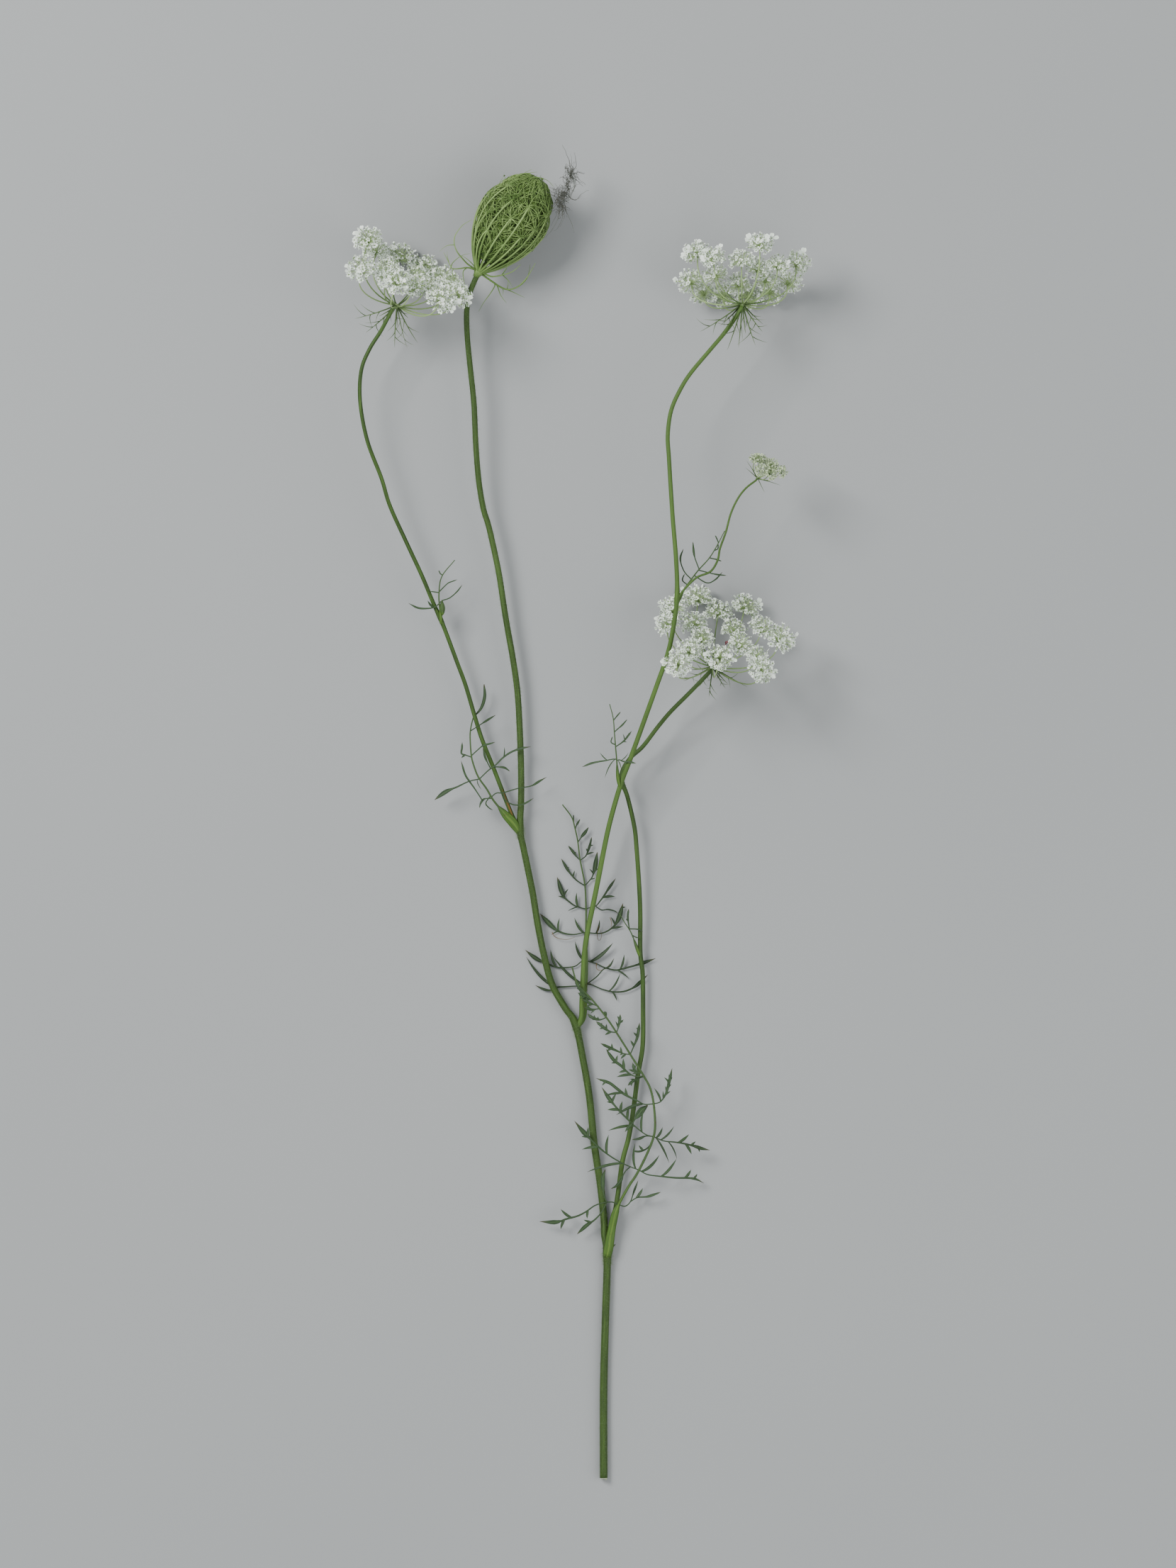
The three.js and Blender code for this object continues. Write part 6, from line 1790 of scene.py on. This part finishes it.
# %% Bracts of the nest
NEST_BRACTS = [
    (0.42, [(-40.6, 230.2, 17), (-42.6, 231.4, 18.5), (-45.1, 233, 20.5), (-47.9, 236, 23),
            (-49.6, 238.3, 24.5), (-50.6, 241.3, 25.5), (-50.4, 244.3, 26), (-49.1, 246.7, 26),
            (-46.9, 249.3, 25.5), (-43.3, 251.5, 25)]),
    (0.2, [(-50.6, 240.9, 25.4), (-53.4, 240.6, 26), (-55.3, 239.5, 26), (-56.9, 238, 26)]),
    (0.45, [(-40.6, 229.9, 17), (-43, 231, 19), (-45.5, 231.4, 21), (-48.1, 231, 23),
            (-50.9, 230.8, 24.5), (-52.2, 232, 25), (-53.7, 235, 25.5), (-55.1, 237.7, 26)]),
    (0.2, [(-51.1, 230.8, 24.6), (-51.4, 228.7, 25), (-50.1, 226.3, 25), (-47.7, 224.7, 25)]),
    (0.24, [(-51.9, 231.8, 25), (-51.2, 233.4, 25.4), (-48.4, 235.8, 25.6), (-46.1, 236.8, 25.4),
            (-44, 237.2, 25)]),
    (0.18, [(-51.6, 231.3, 24.9), (-53.4, 229.7, 25.4), (-54.4, 228, 25.4)]),
    (0.18, [(-52.9, 233.4, 25.2), (-53.5, 236, 26), (-53.7, 238.3, 26.4)]),
    (0.28, [(-45.3, 231.4, 21), (-46.9, 229.6, 22.4), (-46.6, 226, 23), (-45.7, 222, 22.6)]),
    (0.3, [(-41, 230.4, 17), (-43.5, 233.6, 17), (-46.5, 236, 17), (-49, 236.8, 17)]),
    (0.46, [(-39.6, 229.6, 17), (-37.2, 228.6, 18), (-34.7, 227.7, 19), (-30.4, 228.3, 20.5),
            (-26.1, 229.7, 21.5), (-22.6, 232.6, 22)]),
    (0.26, [(-30.6, 228.2, 20.4), (-28.7, 231, 22), (-27.2, 234.5, 24)]),
    (0.24, [(-30.2, 228.3, 20.4), (-27.9, 226, 20.8), (-26.1, 223.2, 20.6)]),
    (0.5, [(-39.6, 229.2, 16.4), (-37, 227.3, 16.4), (-34.1, 225.3, 16.4), (-30.4, 223, 16.4),
           (-27.2, 222.3, 16.4), (-23.4, 223.8, 16.8), (-20.1, 227.2, 17.4), (-17.9, 230.7, 18),
           (-16.4, 233.4, 18.4)]),
    (0.3, [(-33.8, 225.1, 16.4), (-33.6, 223.8, 16.6), (-35.4, 220.7, 17), (-38.1, 217, 17.2),
           (-40.4, 213, 17)]),
    (0.3, [(-33.4, 224.9, 16.4), (-32.4, 223.6, 16.2), (-31.1, 220, 15.6), (-28.6, 216.5, 15)]),
    (0.26, [(-29.2, 222.7, 16.4), (-24.7, 220.7, 15.6), (-20.9, 218.9, 14.8)]),
    (0.2, [(-28.4, 222.6, 16.4), (-28, 224.2, 17), (-27.9, 226.2, 17.4)]),
    (0.2, [(-30.2, 222.9, 16.4), (-30, 221.6, 15.8), (-30.2, 220, 15)]),
    (0.3, [(-24.4, 223.2, 16), (-21.8, 225, 13), (-19.6, 228, 12), (-18.6, 233.2, 12)]),
    (0.3, [(-28.8, 266, 22), (-26, 268.8, 22.5), (-21.5, 270.9, 23), (-15.6, 271.7, 23)]),
    (0.26, [(-25.4, 267.6, 18), (-22.4, 270.6, 18), (-19, 272.6, 18), (-17.6, 273, 18)]),
    (0.26, [(-21, 268.5, 24), (-16.4, 269.4, 25), (-11.5, 268.2, 25), (-8.6, 265.4, 24)]),
]
for half_width, points in NEST_BRACTS:
    line = route(points, 8 * len(points))
    width = half_width * np.linspace(1.0, 0.1, len(line)) ** 0.7
    face = unit(UP + 0.25 * rng.normal(size=3))
    stalk(greens, line, width, 0.55 * width, sides=6, face=face, tint=0.15 + 0.2 * rng.random())
collar = in_place([[0, y, 0] for y in (-2.8, -1.8, -0.6, 0.4, 1.4)])
stalk(greens, collar, [1.15, 1.4, 2.0, 1.9, 1.2], sides=18, ribs=0.06, face=nest_frame[2], tint=0.25)
piece("nest_rays", greens, nest_green, "nest_green", "seed_head")
piece("nest_threads", threads, nest_green, "nest_green")
piece("nest_fruit", fruits, fruit_green, "nest_green")


# %% [markdown]
# The core is seen only through gaps, so its finish does the work: a noise of two greens with deep
# relief looks like more threads in the shade.

# %% Dark inside of the nest
def nest_core_finish():
    f = Finish("nest_inside", 0.85)
    mess = f.noise(object_place(f), 900.0, 4.0)
    tone = f.blend(f.between(mess, 0.4, 0.62), rgb(34, 52, 16), rgb(76, 102, 40))
    f.bump(mess, 1.0, 0.0008)
    return f.colour(tone)


piece("nest_inside", core, nest_core_finish(), "nest_green")

# %% [markdown]
# ## The withered tuft
#
# Dry grey and brownish threads have caught on the tip of the nest. A few long ones stick out and
# have routes of their own. The rest curl at random round four places. Cobweb like this could be
# simulated, but waves of two lengths on each route already look as tangled.

# %% Withered tuft
TUFT_ROUTES = [
    [(-1.4, 270, 20), (-1.6, 273.5, 20.5), (-2.4, 277.4, 21), (-4.9, 283.2, 21.5)],
    [(-1.2, 270.5, 20), (0.4, 274, 20), (0.8, 276.8, 20), (0.1, 280.4, 20)],
    [(0.2, 268.4, 22), (0.7, 266.3, 22), (-1, 262.7, 22.4), (-2.6, 259.4, 22), (-5.5, 261.6, 21)],
    [(-3.6, 262.4, 20), (-0.9, 260.8, 20.4), (0.9, 260.4, 20.6), (3.3, 262.3, 21), (6.2, 264.7, 21)],
    [(-4.6, 260.6, 20), (-4, 257.6, 20), (-2.3, 253, 19.6), (0.2, 246.2, 19)],
    [(-5.4, 260, 21), (-5.2, 256.4, 21.4), (-5, 252, 21.6), (-6.7, 248.4, 21.8), (-8.5, 247, 21.8)],
    [(-6, 260, 21.6), (-6.4, 256.4, 22.4), (-7.1, 251.3, 23), (-9.1, 247.9, 23.4), (-12.3, 243.9, 24)],
    [(-5.6, 261, 21), (-6.9, 259, 22.4), (-9, 256.2, 23.6), (-11.5, 254.7, 24.4)],
    [(-1, 269.8, 20.4), (1, 268.4, 20.6), (3.7, 265.8, 20.8)],
    [(-0.6, 271, 20), (1.9, 271.6, 20), (4.4, 271.3, 20)],
    [(-2, 267.8, 20.4), (-4.2, 269.4, 20.8), (-6.4, 269.2, 21)],
]
TUFT_CLUMPS = [  # middle, how far it reaches in x, y and z, number of threads
    ((-4.9, 262.5, 20), (3.0, 2.4, 2.2), 80),
    ((-1.3, 270.6, 20), (1.7, 3.4, 1.6), 64),
    ((-5.9, 257.6, 21), (2.2, 3.4, 2.0), 60),
    ((-2.9, 266.4, 20), (1.6, 2.6, 1.4), 36),
]
THREAD_POINTS = 18


def curly_thread(bm, points, wander, radius, tint):
    """A thread along a route that wanders off it in waves."""
    line = route(points, THREAD_POINTS)
    share = np.linspace(0, 1, THREAD_POINTS)[:, None]
    for waves in (1.5, 3.5):
        push = rng.normal(size=3) * wander / waves
        line = line + push * np.sin(2 * math.pi * (waves * share + rng.random()))
    taper = radius * np.linspace(1.0, 0.35, THREAD_POINTS)
    stalk(bm, line, taper, sides=4, face=unit(rng.normal(size=3)), tint=tint)


bm = bmesh.new()
for points in TUFT_ROUTES:
    curly_thread(bm, points, 0.25, 0.17, 0.2 * rng.random())
    shifted = np.array(points) + rng.normal(size=3) * [0.5, 0.5, 0.8]
    curly_thread(bm, shifted[: max(3, len(points) - 1)], 0.4, 0.11, rng.random())
for middle, reach, count in TUFT_CLUMPS:
    for _ in range(count):
        start = np.array(middle) + 0.45 * rng.normal(size=3) * reach
        heading = rng.normal(size=3) * reach * 0.8
        bend = start + 0.5 * heading + 0.3 * rng.normal(size=3) * reach
        curly_thread(bm, [start, bend, start + heading], 0.35, 0.1, rng.random())
piece("withered_threads", bm, withered_grey, "withered_grey", "withered_tuft")
